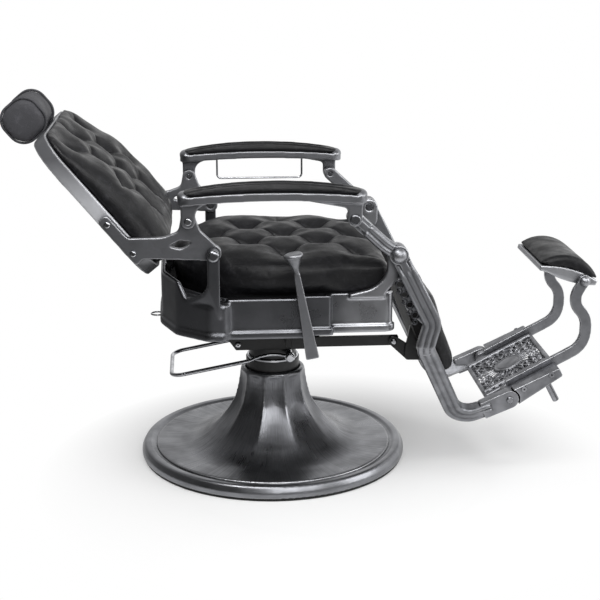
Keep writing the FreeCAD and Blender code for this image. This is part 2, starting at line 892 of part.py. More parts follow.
def rear_post():
    """Left upright that carries the backrest, with a flared foot on the skirt."""
    half = post_width / 2
    foot_top = back_pivot_z - post_foot_drop
    foot_bottom = foot_top - post_foot_height
    toe = [(back_pivot_x - post_foot_reach, foot_top, post_foot_round),
           (back_pivot_x - post_foot_reach, foot_bottom + post_foot_chamfer, post_foot_round)]
    outline = [(back_pivot_x + half, foot_bottom, 0), (back_pivot_x + half, back_pivot_z, 0),
               (back_pivot_x - half, back_pivot_z, 0),
               (back_pivot_x - half, foot_top + post_foot_step, post_foot_curve)] + toe
    column = side_plate(outline, post_inner, post_outer)
    column = column.fuse(pin(back_pivot_x, back_pivot_z, half, post_inner, post_outer))
    foot = [(back_pivot_x + half, foot_bottom, 0), (back_pivot_x + half, foot_top, 0)] + toe
    shelf = side_plate(foot, seat_side_half / 2, post_inner)
    return column.fuse(shelf).removeSplitter()


def front_lug():
    """Left lug that carries the leg rest, curved up from the front of the skirt."""
    x = leg_pivot_x
    z = leg_pivot_z
    outline = [(x - lug_foot_reach, seat_top - seat_wall, 0), (x - lug_foot_reach, seat_top, 0),
               (x - lug_hub_radius * 0.9, seat_top + seat_wall * 2, lug_curve), (x - lug_hub_radius, z, 0),
               (x + lug_hub_radius, z, 0), (x + lug_hub_radius, z - lug_shoulder_drop, lug_shoulder_round),
               (seat_front - seat_corner, seat_top, 0), (seat_front - seat_corner, seat_top - seat_wall, 0)]
    plate = side_plate(outline, lug_inner, lug_outer)
    sill = box(x - lug_foot_reach, seat_front_half - seat_wall, seat_top - seat_wall,
               seat_front - seat_corner, lug_inner, seat_top)
    hub = pin(x, z, lug_hub_radius, lug_inner, lug_outer)
    return plate.fuse([sill, hub]).removeSplitter()


def seat_board():
    """Plywood board inside the skirt, up to its front wall."""
    board = seat_prism(-seat_wall - gap, seat_board_bottom, seat_board_top)
    front = recess_front - seat_wall - gap
    return board.cut(box(front, -seat_side_half, seat_bottom, seat_front + 1, seat_side_half, seat_top))


def cushion_section(grow, swell, height):
    """Plan of the seat cushion at a height, with the same run of edges each time."""
    rear = -seat_cushion_rear - grow
    side = seat_front_half - seat_wall - cushion_gap + min(grow, gap * 8)
    front = seat_front - seat_wall - cushion_gap + grow
    corner = max(seat_corner + grow / 2, 10)
    turn = corner * (1 - math.sqrt(0.5))
    middle = (cushion_side_front - cushion_side_rear) / 2
    points = [Vector(-cushion_side_rear, -side, height), Vector(middle, -side - swell, height),
              Vector(cushion_side_front, -side, height), Vector(front - corner, -side, height),
              Vector(front - turn, -side + turn, height), Vector(front, -side + corner, height)]
    edges = [Part.Arc(points[0], points[1], points[2]), Part.LineSegment(points[2], points[3]),
             Part.Arc(points[3], points[4], points[5])]
    half = [edge.toShape() for edge in edges]
    other = [edge.mirror(Vector(0, 0, 0), Vector(0, 1, 0)) for edge in half]
    across = Part.LineSegment(points[5], Vector(front, side - corner, height)).toShape()
    bow = Part.Arc(Vector(-cushion_side_rear, side, height), Vector(rear, 0, height), points[0]).toShape()
    return Part.Wire(Part.__sortEdges__(half + [across] + other + [bow]))


def crown_angles():
    """Angles of the sections that round a cushion over to its crown."""
    return [math.pi / 2 * i / crown_steps for i in range(crown_steps + 1)]


def seat_cushion():
    """Leather seat with a crown, swelling sides and diamond tufts."""
    sections = [cushion_section(-2, 1, seat_board_top + gap), cushion_section(0, 1, seat_top),
                cushion_section(seat_cushion_bulge * 0.8, seat_cushion_swell * 0.85, seat_top + 18)]
    for angle in crown_angles():
        grow = seat_cushion_bulge - seat_cushion_crown * (1 - math.cos(angle))
        height = seat_cushion_shoulder + (seat_cushion_top - seat_cushion_shoulder) * math.sin(angle)
        sections.append(cushion_section(grow, 1 + seat_cushion_swell * math.cos(angle), height))
    body = Part.makeLoft(sections, True, False)
    middle = Vector((seat_front - seat_cushion_rear) / 2, 0, seat_cushion_top)
    return body.cut(tuft_tools(middle, tuft_pitch_x, tuft_pitch_y, *tuft_half_count))


def tuft_tools(middle, pitch_a, pitch_b, half_a, half_b):
    """Hollows of the buttons and of the pleats between them, about the middle of a crown."""
    tools = []
    for a, b in tuft_places(pitch_a, pitch_b, half_a, half_b):
        tools.append(Part.makeSphere(tuft_radius, middle + Vector(a, b, tuft_radius - tuft_depth)))
    for start, end in pleat_lines(pitch_a, pitch_b, half_a, half_b):
        run = Vector(end[0] - start[0], end[1] - start[1], 0)
        tools.append(Part.makeCylinder(pleat_radius, run.Length, middle + Vector(start[0], start[1], 0), run))
    return tools


def tuft_places(pitch_a, pitch_b, half_a, half_b):
    """Staggered button places about a middle, in half steps each way."""
    places = []
    for i in range(-half_a, half_a + 1):
        for j in range(-half_b, half_b + 1):
            if (i + j) % 2 == 0:
                places.append((i * pitch_a / 2, j * pitch_b / 2))
    return places


def pleat_lines(pitch_a, pitch_b, half_a, half_b):
    """Pleats that join each button to its next ones on the slant."""
    lines = []
    for a, b in tuft_places(pitch_a, pitch_b, half_a, half_b):
        for side in (-1, 1):
            end = (a + pitch_a / 2, b + side * pitch_b / 2)
            if abs(end[0]) <= half_a * pitch_a / 2 + 1 and abs(end[1]) <= half_b * pitch_b / 2 + 1:
                lines.append(((a, b), end))
    return lines


def recline_pins():
    """Pins of the backrest with the domed caps on the posts."""
    return pair(headed(back_pivot_x, back_pivot_z, pivot_radius, pivot_head_radius, pivot_head_height,
                       bracket_inner - side_gap, post_outer))


def leg_pins():
    """Pins of the leg rest with ball caps."""
    return pair(headed(leg_pivot_x, leg_pivot_z, pivot_radius, pivot_head_radius, pivot_head_height * 1.3,
                       lug_inner, crank_outer + gap + leg_rib_height))


def ring_place(out):
    """Point outside the bead at the rear of the seat, and the way outwards there."""
    rear = seat_rear + bead_depth
    side = seat_side_half + bead_depth
    reach = (side ** 2 - rear ** 2 + seat_side_rear ** 2) / (2 * (rear - seat_side_rear))
    angle = math.radians(ring_angle)
    way = Vector(-math.cos(angle), -math.sin(angle), 0)
    return Vector(reach, 0, seat_bottom + bead_height / 2) + way * (rear + reach + out), way


def ring_eye():
    """Small eye on the bead for the strap ring."""
    place, way = ring_place(0)
    eye = Part.makeCylinder(ring_lug / 2, ring_lug * 1.5, place - way * ring_lug * 0.5, way)
    hole, _ = ring_place(ring_lug * 0.5)
    along = Vector(way.y, -way.x, 0)
    bore = ring_wire + ring_play
    return eye.cut(Part.makeCylinder(bore, ring_lug * 2, hole - along * ring_lug, along))


def strap_ring():
    """Small wire ring that hangs in the eye at the rear of the seat."""
    place, _ = ring_place(ring_radius + ring_lug * 0.5)
    return Part.makeTorus(ring_radius, ring_wire, place, Vector(0, 0, 1))


# Backrest

def back_outline(grow):
    """Rounded outline of the backrest, drawn with X across and Y up."""
    half = back_half_width + grow
    low = back_low - grow
    high = back_low + back_height + grow
    corner = max(back_corner + grow * 0.6, 12)
    foot = corner * 0.7
    return [(-half, low, foot), (half, low, foot), (half, high, corner), (-half, high, corner)]


def back_slab(grow, near, far):
    """Solid with the backrest's outline between two depths, in its place."""
    return lay_on_back(plan_plate(back_outline(grow), near, far))


def back_rim():
    """Bright band round the backrest."""
    ring = back_slab(0, 0, back_rim_depth).cut(back_slab(-back_rim_width, -1, back_rim_depth + 1))
    top = back_low + back_height
    half = head_post_width / 2 + fit
    middle = head_post_plane()
    slot = box(-half, top - back_rim_width - 1, middle - head_post_thickness / 2 - fit,
               half, top + 1, middle + head_post_thickness / 2 + fit)
    ring = ring.cut(lay_on_back(slot))
    for u in bracket_bolt_u:
        hole = pin_on_back(u, bolt_radius + fit, back_half_width - back_rim_width - 1, back_half_width + 1)
        ring = ring.cut([hole, right(hole)])
    return ring


def pin_on_back(u, radius, near, far):
    """Round pin along Y in the middle of the band."""
    place = on_back(u, back_rim_depth / 2)
    return pin(place.x, place.z, radius, near, far)


def back_panel_rear():
    """Depth of the board's rear face, in front of the headrest's guide."""
    return head_guide_wall * 2 + head_post_thickness + fit * 2


def back_panel():
    """Board that closes the band and carries the cushion."""
    return back_slab(-back_rim_width - gap, back_panel_rear(), back_panel_rear() + back_panel_thickness)


def head_post_plane():
    """Depth of the headrest post's middle from the rear of the band."""
    return head_guide_wall + head_post_thickness / 2 + fit


def back_cushion():
    """Tufted leather cushion with a crown and drawn-in sides."""
    low = back_panel_rear() + back_panel_thickness + gap
    high = low + back_cushion_depth
    inset = -back_rim_width - gap
    shoulder = back_rim_depth + back_cushion_shoulder
    steps = [(inset - 2, low), (inset - 1, back_rim_depth)]
    for angle in crown_angles():
        steps.append((inset + 6 - back_cushion_crown * (1 - math.cos(angle)),
                      shoulder + (high - shoulder) * math.sin(angle)))
    wires = [rounded(back_outline(grow), lambda a, b, h=height: Vector(a, b, h)) for grow, height in steps]
    body = Part.makeLoft(wires, True, False)
    middle = Vector(0, back_low + back_height / 2, high)
    return lay_on_back(body.cut(tuft_tools(middle, back_tuft_pitch_y, back_tuft_pitch_u, *tuft_half_count)))


def back_bracket():
    """Left cast bracket from the band to the recline pivot and up to the armrest pivot."""
    x = back_pivot_x
    z = back_pivot_z
    top_x = arm_rear_x
    top_z = arm_rear_z
    rear = back_rim_depth / 2 - bracket_strip_half
    ahead = back_rim_depth / 2 + bracket_strip_half
    strip_low = bracket_bolt_u[0] - bracket_strip_start
    strip_high = bracket_bolt_u[1] + bracket_strip_end
    strip = [on_back(strip_low, rear), on_back(strip_high, rear), on_back(strip_high, ahead)]
    throat = on_back(bracket_bolt_u[0] + bracket_throat_run, ahead)
    hub = bracket_hub_radius
    top_hub = hub - side_gap * 2
    foot, neck, front = (bracket_neck_foot, bracket_neck_rear, bracket_neck_front)
    outline = [(x - hub / 2, z - top_hub, bracket_round),
               (strip[0].x + hub / 2, z - hub / 2, bracket_round * 2)]
    outline += [(place.x, place.z, bracket_round) for place in strip]
    outline += [(throat.x, throat.z, bracket_round * 2), (top_x - foot[0], z + foot[1], bracket_neck_round),
                (top_x - neck[0], z + neck[1], bracket_round * 2), (top_x - top_hub, top_z, 0),
                (top_x + top_hub, top_z, 0), (top_x + front[0], z + front[1], bracket_neck_round),
                (x + top_hub, z + bracket_round, bracket_round)]
    plate = side_plate(outline, bracket_inner, bracket_outer)
    hubs = [pin(x, z, hub, bracket_inner, bracket_outer),
            pin(top_x, top_z, top_hub, bracket_inner, bracket_outer)]
    plate = plate.fuse(hubs)
    eye = [(x + dx, z + dz, bracket_eye_rounds[i % 2]) for i, (dx, dz) in enumerate(bracket_eye)]
    plate = plate.cut(side_plate(eye, bracket_inner - 1, bracket_outer + 1))
    for u in bracket_bolt_u:
        plate = plate.cut(pin_on_back(u, bolt_radius + fit, bracket_inner - 1, bracket_outer + 1))
    plate = plate.cut(pin(x, z, pivot_radius + fit, bracket_inner - 1, bracket_outer + 1))
    plate = plate.cut(pin(top_x, top_z, link_pin_radius + fit, bracket_inner - 1, bracket_outer + 1))
    return plate.removeSplitter()


def bracket_bolts():
    """Bolts that hold the brackets on the band."""
    bolts = []
    for u in bracket_bolt_u:
        place = on_back(u, back_rim_depth / 2)
        bolt = headed(place.x, place.z, bolt_radius, bolt_head_radius, bolt_head_height,
                      back_half_width - back_rim_width, bracket_outer)
        bolts += pair(bolt)
    return bolts


def armrest_rear_pins():
    """Pins that join the armrests to the back brackets."""
    seat = bracket_outer + side_gap + armrest_ear_thickness + gap
    return pair(headed(arm_rear_x, arm_rear_z, link_pin_radius, link_head_radius, link_head_height,
                       bracket_inner, seat))


def head_guide():
    """Flat socket inside the backrest that the headrest post slides in."""
    top = back_low + back_height - back_rim_width - gap
    half = head_post_width / 2 + fit
    middle = head_post_plane()
    deep = head_post_thickness / 2 + fit
    outer = box(-half - head_guide_wall, top - head_guide_length, middle - deep - head_guide_wall,
                half + head_guide_wall, top, middle + deep + head_guide_wall)
    inner = box(-half, top - head_guide_length - 1, middle - deep, half, top + 1, middle + deep)
    return lay_on_back(outer.cut(inner))


# Headrest

def head_post():
    """Flat steel post of the headrest."""
    middle = head_post_plane()
    top = back_low + back_height + head_post_insert
    half = head_post_width / 2
    deep = head_post_thickness / 2
    low = top - head_post_depth - head_post_insert
    return lay_on_back(box(-half, low, middle - deep, half, top, middle + deep))


def head_cushion():
    """Padded headrest with rounded sides, on the end of its post."""
    low = back_low + back_height + side_gap
    half = head_length / 2
    front = head_section - head_offset
    block = Part.makeBox(head_length, head_section, head_section, Vector(-half, low, front - head_section))
    long = [edge for edge in block.Edges if edge.Length > head_section + 1]
    block = block.makeFillet(head_corner, long)
    ends = [edge for edge in block.Edges if abs(abs(edge.CenterOfMass.x) - half) < 1e-3]
    block = block.makeFillet(head_end_round, ends)
    middle = head_post_plane()
    wide = head_post_width / 2 + gap
    deep = head_post_thickness / 2 + gap
    socket = box(-wide, low - 1, middle - deep, wide, low - side_gap + head_post_insert + gap, middle + deep)
    return lay_on_back(block.cut(socket))


# Armrests

def armrest_plan(inset):
    """Plan of the left armrest."""
    low = armrest_centre - armrest_width / 2 + inset
    high = armrest_centre + armrest_width / 2 - inset
    corner = armrest_end_round - inset / 2
    return [(-armrest_rear + inset, low, corner), (armrest_front - inset, low, corner),
            (armrest_front - inset, high, corner), (-armrest_rear + inset, high, corner)]


def armrest_deck(x):
    """Height of the armrest's top face, gently arched."""
    middle = (armrest_front - armrest_rear) / 2
    half = (armrest_front + armrest_rear) / 2
    return armrest_top + armrest_crown - 2 * armrest_crown * ((x - middle) / half) ** 2


def armrest_side(low_of, high_of):
    """Arched side view of an armrest piece, through three points above and below."""
    ends = (-armrest_rear, (armrest_front - armrest_rear) / 2, armrest_front)
    top = [Vector(x, 0, high_of(x)) for x in ends]
    bottom = [Vector(x, 0, low_of(x)) for x in ends]
    edges = [Part.Arc(*top).toShape(), Part.LineSegment(top[2], bottom[2]).toShape(),
             Part.Arc(*bottom).toShape(), Part.LineSegment(bottom[0], top[0]).toShape()]
    return Part.Face(Part.Wire(Part.__sortEdges__(edges)))


def armrest_frame():
    """Left cast arm with an ear at each end."""
    face = armrest_side(lambda x: armrest_deck(x) - armrest_thickness, armrest_deck)
    deck = face.extrude(Vector(0, pilaster_half * 2, 0))
    deck = deck.common(plan_plate(armrest_plan(0), armrest_top - 100, armrest_top + 100))
    under = armrest_top - armrest_thickness
    rear_near = bracket_outer + side_gap
    rear_far = rear_near + armrest_ear_thickness
    r = armrest_hub_radius
    neck = under - ear_neck_drop
    root = under + ear_sink
    rear = [(arm_rear_x - r, arm_rear_z, 0), (arm_rear_x - r, neck, ear_neck_round),
            (-armrest_rear + ear_sink, root, 0), (arm_rear_x + ear_rear_run, root, 0),
            (arm_rear_x + r, neck, ear_rear_curve), (arm_rear_x + r, arm_rear_z, 0)]
    front_near = crank_outer + leg_rib_height + side_gap
    front_far = front_near + armrest_ear_thickness
    front = [(arm_front_x - r, arm_front_z, 0), (arm_front_x - r, neck, ear_neck_round),
             (arm_front_x - ear_front_run, root, 0), (armrest_front - ear_sink * 2, root, 0),
             (arm_front_x + r, neck, ear_neck_round), (arm_front_x + r, arm_front_z, 0)]
    ears = [side_plate(rear, rear_near, rear_far), pin(arm_rear_x, arm_rear_z, r, rear_near, rear_far),
            side_plate(front, front_near, front_far), pin(arm_front_x, arm_front_z, r, front_near, front_far)]
    arm = deck.fuse(ears)
    arm = arm.cut(pin(arm_rear_x, arm_rear_z, link_pin_radius + fit, rear_near - 1, rear_far + 1))
    wide = link_pin_radius + open_pin_play
    arm = arm.cut(pin(arm_front_x, arm_front_z, wide, front_near - 1, front_far + 1))
    return arm.removeSplitter()


def armrest_pad():
    """Left padded top of an armrest, crowned."""
    high = lambda x: armrest_deck(x) + pad_height
    face = armrest_side(lambda x: armrest_deck(x) + gap, high)
    pad = face.extrude(Vector(0, pilaster_half * 2, 0))
    pad = pad.common(plan_plate(armrest_plan(pad_inset), armrest_top - 100, armrest_top + 100))
    crown = [edge for edge in pad.Edges if edge.CenterOfMass.z > armrest_top + pad_height - 4 * armrest_crown]
    return pad.makeFillet(pad_round, crown)


def rail_places():
    """X of the two legs of the towel rail."""
    return (-rail_rear, rail_front)


def towel_rail():
    """Wire rail that hangs under the left armrest."""
    y = armrest_centre - armrest_width / 4
    low = armrest_top - armrest_thickness - rail_drop
    start, end = rail_places()
    high = [armrest_deck(x) - armrest_thickness + rail_socket for x in (start, end)]
    turn = rail_corner * (1 - math.sqrt(0.5))
    edges = [Part.LineSegment(Vector(start, y, high[0]), Vector(start, y, low + rail_corner)),
             Part.Arc(Vector(start, y, low + rail_corner), Vector(start + turn, y, low + turn),
                      Vector(start + rail_corner, y, low)),
             Part.LineSegment(Vector(start + rail_corner, y, low), Vector(end - rail_corner, y, low)),
             Part.Arc(Vector(end - rail_corner, y, low), Vector(end - turn, y, low + turn),
                      Vector(end, y, low + rail_corner)),
             Part.LineSegment(Vector(end, y, low + rail_corner), Vector(end, y, high[1]))]
    path = Part.Wire([edge.toShape() for edge in edges])
    section = Part.Wire(Part.makeCircle(rail_radius, Vector(start, y, high[0]), Vector(0, 0, 1)))
    return path.makePipeShell([section], True, True)


def rail_sockets():
    """Blind holes for the rail in the left armrest."""
    y = armrest_centre - armrest_width / 4
    holes = []
    for x in rail_places():
        low = armrest_deck(x) - armrest_thickness
        holes.append(post(x, y, rail_radius + fit, low - 5, low + rail_socket))
    return holes


# Leg rest

def upper_path():
    """Corners of the upright upper arm's middle line, from the leg pivot down."""
    corners = [(0, 0), (knee_dx, knee_dz), (jog_dx, jog_dz)]
    return [(leg_pivot_x + dx, leg_pivot_z + dz) for dx, dz in corners]


def lower_path():
    """Corners of the lower arm's middle line before it is leaned in."""
    stretch = 1 / math.cos(math.radians(leg_lean))
    corners = [(jog_dx, jog_dz), (elbow_dx, elbow_dz), (toe_dx, toe_dz)]
    return [(leg_pivot_x + dx, leg_pivot_z + jog_dz + (dz - jog_dz) * stretch) for dx, dz in corners]


def ribbed(points, radii, width):
    """Flat bar along a path in the leg arm's plane, with a raised rib on its outer face."""
    half = leg_thickness / 2
    count = len(points)
    bar = side_plate(band(points, radii, [width] * count), leg_plane - half, leg_plane + half)
    rib = band(points, radii, [leg_rib_width] * count)
    return bar.fuse(side_plate(rib, leg_plane + half, leg_plane + half + leg_rib_height))


def leg_arm():
    """Left cast leg arm: crank above the pivot, ribbed arm below it that leans in, and the knuckle."""
    upper = upper_path()
    rib_face = crank_outer + leg_rib_height
    arm = ribbed(upper, [0, knee_radius, 0], leg_width)
    lower = lean_in(ribbed(lower_path(), [0, elbow_radius, 0], leg_width))
    bow = [upper[0], crank_middle(), (arm_front_x, arm_front_z)]
    crank = ribbed(bow, [0, crank_width * 2, 0], crank_width)
    jog = upper[2]
    joint = pin(jog[0], jog[1], leg_width / 2, crank_inner, crank_outer)
    hubs = [pin(leg_pivot_x, leg_pivot_z, lug_hub_radius, crank_inner, rib_face),
            pin(arm_front_x, arm_front_z, crank_width / 2, crank_inner, rib_face)]
    toe = (leg_pivot_x + toe_dx, leg_pivot_z + toe_dz)
    back = direction(toe, (leg_pivot_x + elbow_dx, leg_pivot_z + elbow_dz))
    heel = (toe[0] + back[0] * leg_width * 0.6, toe[1] + back[1] * leg_width * 0.6)
    knuckle = side_plate(band([heel, (knuckle_x, knuckle_z)], [0, 0], [leg_width * 1.1, knuckle_radius * 2]),
                         knuckle_inner, knuckle_outer)
    eye = pin(knuckle_x, knuckle_z, knuckle_radius, knuckle_inner, knuckle_outer)
    arm = arm.fuse([lower, crank, joint, scroll_work(upper), knuckle, eye] + hubs)
    holes = [pin(leg_pivot_x, leg_pivot_z, pivot_radius + fit, crank_inner - 1, rib_face + 1),
             pin(arm_front_x, arm_front_z, link_pin_radius + fit, crank_inner - 1, rib_face + 1),
             pin(knuckle_x, knuckle_z, link_pin_radius + fit, knuckle_inner - 1, knuckle_outer + 1)]
    for x, z in calf_bolt_places():
        holes.append(calf_bolt(x, z, calf_bolt_radius + fit))
    return arm.cut(holes).removeSplitter()


def crank_middle():
    """Corner of the crank's curve between the leg pivot and the armrest pivot."""
    middle = ((leg_pivot_x + arm_front_x) / 2, (leg_pivot_z + arm_front_z) / 2)
    along = direction((leg_pivot_x, leg_pivot_z), (arm_front_x, arm_front_z))
    return (middle[0] - along[1] * -crank_sag, middle[1] + along[0] * crank_sag)


def scroll_work(path):
    """Pierced web along the rear of the upper arm."""
    down = direction(path[0], path[1])
    back = (down[1], -down[0])
    length = math.hypot(path[1][0] - path[0][0], path[1][1] - path[0][1])
    start = 0.28 * length
    outline = []
    corners = ((start, 0, 0), (start, scroll_width * 0.8, 10), (length * 0.7, scroll_width, 30),
               (length, leg_width / 2, 0), (length, 0, 0))
    for along, across, radius in corners:
        outline.append((path[0][0] + down[0] * along + back[0] * across,
                        path[0][1] + down[1] * along + back[1] * across, radius))
    web = side_plate(outline, leg_plane - scroll_thickness / 2, leg_plane + scroll_thickness / 2)
    for i in range(scroll_holes):
        along = start + (length * 0.88 - start) * (i + 0.5) / scroll_holes
        across = leg_width / 2 + scroll_hole_radius * 1.3
        web = web.cut(pin(path[0][0] + down[0] * along + back[0] * across,
                          path[0][1] + down[1] * along + back[1] * across,
                          scroll_hole_radius, leg_plane - scroll_thickness, leg_plane + scroll_thickness))
    return web


def calf_point(along, out):
    """Point on the calf panel's side view: down along it and forward from its rear face."""
    x = leg_pivot_x + calf_top_dx + along * math.sin(calf_lean) + out * math.cos(calf_lean)
    z = leg_pivot_z + calf_top_dz - along * math.cos(calf_lean) + out * math.sin(calf_lean)
    return (x, z)


def calf_half_width(z):
    """Half width of the calf panel at a height."""
    high = calf_point(0, 0)[1]
    low = calf_point(calf_length, 0)[1]
    return calf_bottom_half + (calf_top_half - calf_bottom_half) * (z - low) / (high - low)


def calf_slab(near, far, corner):
    """Tapered slab between the leg arms, between two depths of the calf panel."""
    corners = [calf_point(0, near), calf_point(0, far),
               calf_point(calf_length, far), calf_point(calf_length, near)]
    outline = [(x, z, corner) for x, z in corners]
    slab = side_plate(outline, -leg_plane, leg_plane)
    high = leg_pivot_z
    low = corners[2][1] - calf_length
    taper = [Vector(0, -calf_half_width(low), low), Vector(0, calf_half_width(low), low),
             Vector(0, calf_half_width(high), high), Vector(0, -calf_half_width(high), high)]
    end = Part.Face(Part.makePolygon(taper + taper[:1]))
    wedge = end.extrude(Vector(leg_pivot_x + calf_length * 2, 0, 0))
    return slab.common(wedge)


def calf_bolt_places():
    """X and Z of the bolts that hold the calf board between the arms."""
    return [calf_point(along, calf_board_thickness / 2) for along in calf_bolt_at]


def calf_bolt(x, z, radius):
    """Shank of one left calf bolt, from inside the board into the arm."""
    start = calf_half_width(z) - calf_bolt_depth
    lean = math.radians(leg_lean)
    drop = max(leg_pivot_z + jog_dz - z, 0)
    return pin(x, z, radius, start, leg_plane - drop * math.tan(lean))


def calf_board():
    """Board of the calf panel with holes in its edges."""
    board = calf_slab(0, calf_board_thickness, 3)
    for x, z in calf_bolt_places():
        hole = calf_bolt(x, z, calf_bolt_radius + fit)
        board = board.cut([hole, right(hole)])
    return board


def calf_bolts():
    """Round spacers from the arms to the calf board."""
    bolts = []
    for x, z in calf_bolt_places():
        bolts += pair(calf_bolt(x, z, calf_bolt_radius))
    return bolts


def calf_cushion():
    """Leather front of the calf panel, with rounded edges."""
    pad = calf_slab(calf_board_thickness + gap, calf_board_thickness + gap + calf_cushion_thickness, 0)
    deep = calf_board_thickness + gap * 2
    front = [edge for edge in pad.Edges if all(calf_depth(v.Point) > deep for v in edge.Vertexes)]
    return pad.makeFillet(calf_cushion_thickness * 0.45, front)


def calf_depth(point):
    """Depth of a point in front of the calf panel's rear face."""
    dx = point.x - leg_pivot_x - calf_top_dx
    dz = point.z - leg_pivot_z - calf_top_dz
    return dx * math.cos(calf_lean) + dz * math.sin(calf_lean)


def armrest_front_pins():
    """Pins on the cranks that the armrests hang on."""
    seat = crank_outer + leg_rib_height + side_gap + armrest_ear_thickness + side_gap
    head = link_pin_radius + open_pin_play * 2
    return pair(headed(arm_front_x, arm_front_z, link_pin_radius, head, link_head_height, crank_inner, seat))


def strut_bracket():
    """Black bracket behind the calf board with the pin of the lock strut."""
    far = strut_outer + gap + strut_link_thickness + side_gap
    near = far + strut_link_thickness
    foot_low = calf_point(strut_pin_at + strut_bracket_drop, 0)
    foot_high = calf_point(strut_pin_at - strut_bracket_rise, 0)
    reach = link_pin_radius * 2.2
    outline = [(foot_low[0], foot_low[1], 0), (foot_high[0], foot_high[1], 0),
               (strut_pin_x - reach, strut_pin_z + reach, 8), (strut_pin_x - reach, strut_pin_z - reach, 8)]
    plate = side_plate(outline, -far, -near)
    stub = pin(strut_pin_x, strut_pin_z, link_pin_radius, -far, -strut_outer)
    return plate.fuse(stub).removeSplitter()


def footrest_pins():
    """Pins of the footrest in the knuckles."""
    return pair(headed(knuckle_x, knuckle_z, link_pin_radius, link_head_radius, link_head_height,
                       s_arm_outer + gap, knuckle_outer))


# Recline lock

def lock_sleeve():
    """Sleeve on the channel's side that the strut slides through."""
    near = channel_half_width + side_gap
    far = strut_outer + sleeve_outer_wall
    half = strut_height / 2
    body = box(sleeve_x - sleeve_length / 2, -far, sleeve_z - half - sleeve_outer_wall,
               sleeve_x + sleeve_length / 2, -near, sleeve_z + half + sleeve_outer_wall)
    bore = box(sleeve_x - sleeve_length, -strut_outer - gap, sleeve_z - half - gap,
               sleeve_x + sleeve_length, -strut_inner + gap, sleeve_z + half + gap)
    return body.cut(bore).cut(pin(sleeve_x, sleeve_z, link_pin_radius + fit, -strut_inner, -near + 1))


def sleeve_pin():
    """Trunnion of the sleeve in the channel's side."""
    shank = pin(sleeve_x, sleeve_z, link_pin_radius, -strut_inner + gap * 2, -channel_inner)
    head = pin(sleeve_x, sleeve_z, link_head_radius, -channel_inner, -channel_inner + link_head_height)
    return shank.fuse(head)


def lock_strut():
    """Flat bar that slides through the sleeve."""
    half = strut_height / 2
    outline = [(strut_rear + sleeve_x - strut_height * 2, sleeve_z - half, 3),
               (sleeve_x + strut_front, sleeve_z - half, 3), (sleeve_x + strut_front, sleeve_z + half, 3),
               (strut_rear + sleeve_x - strut_height * 2, sleeve_z + half, 3)]
    return side_plate(outline, -strut_outer, -strut_inner).cut(strut_bolt(bolt_radius + fit))


def strut_bolt(radius):
    """Shank of the bolt that joins the strut and its end link."""
    x = sleeve_x + strut_front - strut_height / 2
    return pin(x, sleeve_z, radius, -strut_outer - gap - strut_link_thickness, -strut_inner)


def strut_link():
    """Dropped end link of the strut, with a wide eye for the bracket's pin."""
    near = strut_outer + gap
    far = near + strut_link_thickness
    start = (sleeve_x + strut_front - strut_height / 2, sleeve_z)
    end = (strut_pin_x, strut_pin_z)
    eye = link_pin_radius + strut_pin_play
    plate = side_plate(band([start, end], [0, 0], [strut_height, eye * 2 + 8]), -far, -near)
    plate = plate.fuse([pin(start[0], start[1], strut_height / 2, -far, -near),
                        pin(end[0], end[1], eye + 4, -far, -near)])
    plate = plate.cut(pin(end[0], end[1], eye, -far - 1, -near + 1))
    return plate.cut(strut_bolt(bolt_radius + fit)).removeSplitter()


def strut_end_bolt():
    """Bright bolt through the strut and its end link."""
    x = sleeve_x + strut_front - strut_height / 2
    seat = strut_outer + gap + strut_link_thickness
    return right(headed(x, sleeve_z, bolt_radius, bolt_head_radius, bolt_head_height, strut_inner, seat))


def hand_shaft():
    """Shaft of the recline lever, carried in the channel's side."""
    start = -channel_inner + shaft_collar_length + 2 * side_gap
    return pin(hand_shaft_x, hand_shaft_z, hand_shaft_radius, start, -hand_lever_inner)


def shaft_collars():
    """Collars that hold the shaft in the channel's side."""
    rings = []
    for near in (-channel_inner + side_gap, -channel_half_width - side_gap - shaft_collar_length):
        far = near + shaft_collar_length
        ring = pin(hand_shaft_x, hand_shaft_z, hand_shaft_radius + shaft_collar_wall, near, far)
        rings.append(ring.cut(pin(hand_shaft_x, hand_shaft_z, hand_shaft_radius + fit, near - 1, far + 1)))
    return rings


def hand_lever_top():
    """Top of the lever's bar, where the knob starts."""
    return (hand_shaft_x - hand_lever_lean, hand_shaft_z + hand_lever_height)


def hand_lever():
    """Tapered bar of the recline lever."""
    top = hand_lever_top()
    along = direction((hand_shaft_x, hand_shaft_z), top)
    foot = (hand_shaft_x - along[0] * hand_lever_foot, hand_shaft_z - along[1] * hand_lever_foot)
    outline = band([foot, top], [0, 0], [hand_lever_base * 2, hand_lever_neck * 2])
    corners = [(a, b, 2) for a, b, _ in outline]
    return side_plate(corners, -hand_lever_inner - hand_lever_thickness, -hand_lever_inner)


def hand_knob():
    """Flared knob on top of the lever."""
    neck = hand_lever_neck
    wide = hand_knob_radius
    tall = hand_knob_height
    outline = [(0, 0, 0), (neck, 0, 0), (neck * 1.1, tall * 0.25, 30), (wide * 0.75, tall * 0.72, 0),
               (wide, tall * 0.88, 4), (wide * 0.8, tall, 6), (0, tall, 0)]
    wire = rounded(outline, lambda a, b: Vector(a, 0, b))
    knob = Part.Face(wire).revolve(Vector(0, 0, 0), Vector(0, 0, 1), 360)
    top = hand_lever_top()
    angle = math.degrees(math.atan2(top[0] - hand_shaft_x, top[1] - hand_shaft_z))
    knob.rotate(Vector(0, 0, 0), Vector(0, 1, 0), angle)
    knob.translate(Vector(top[0], -hand_lever_inner - hand_lever_thickness / 2, top[1]))
    return knob


# Footrest

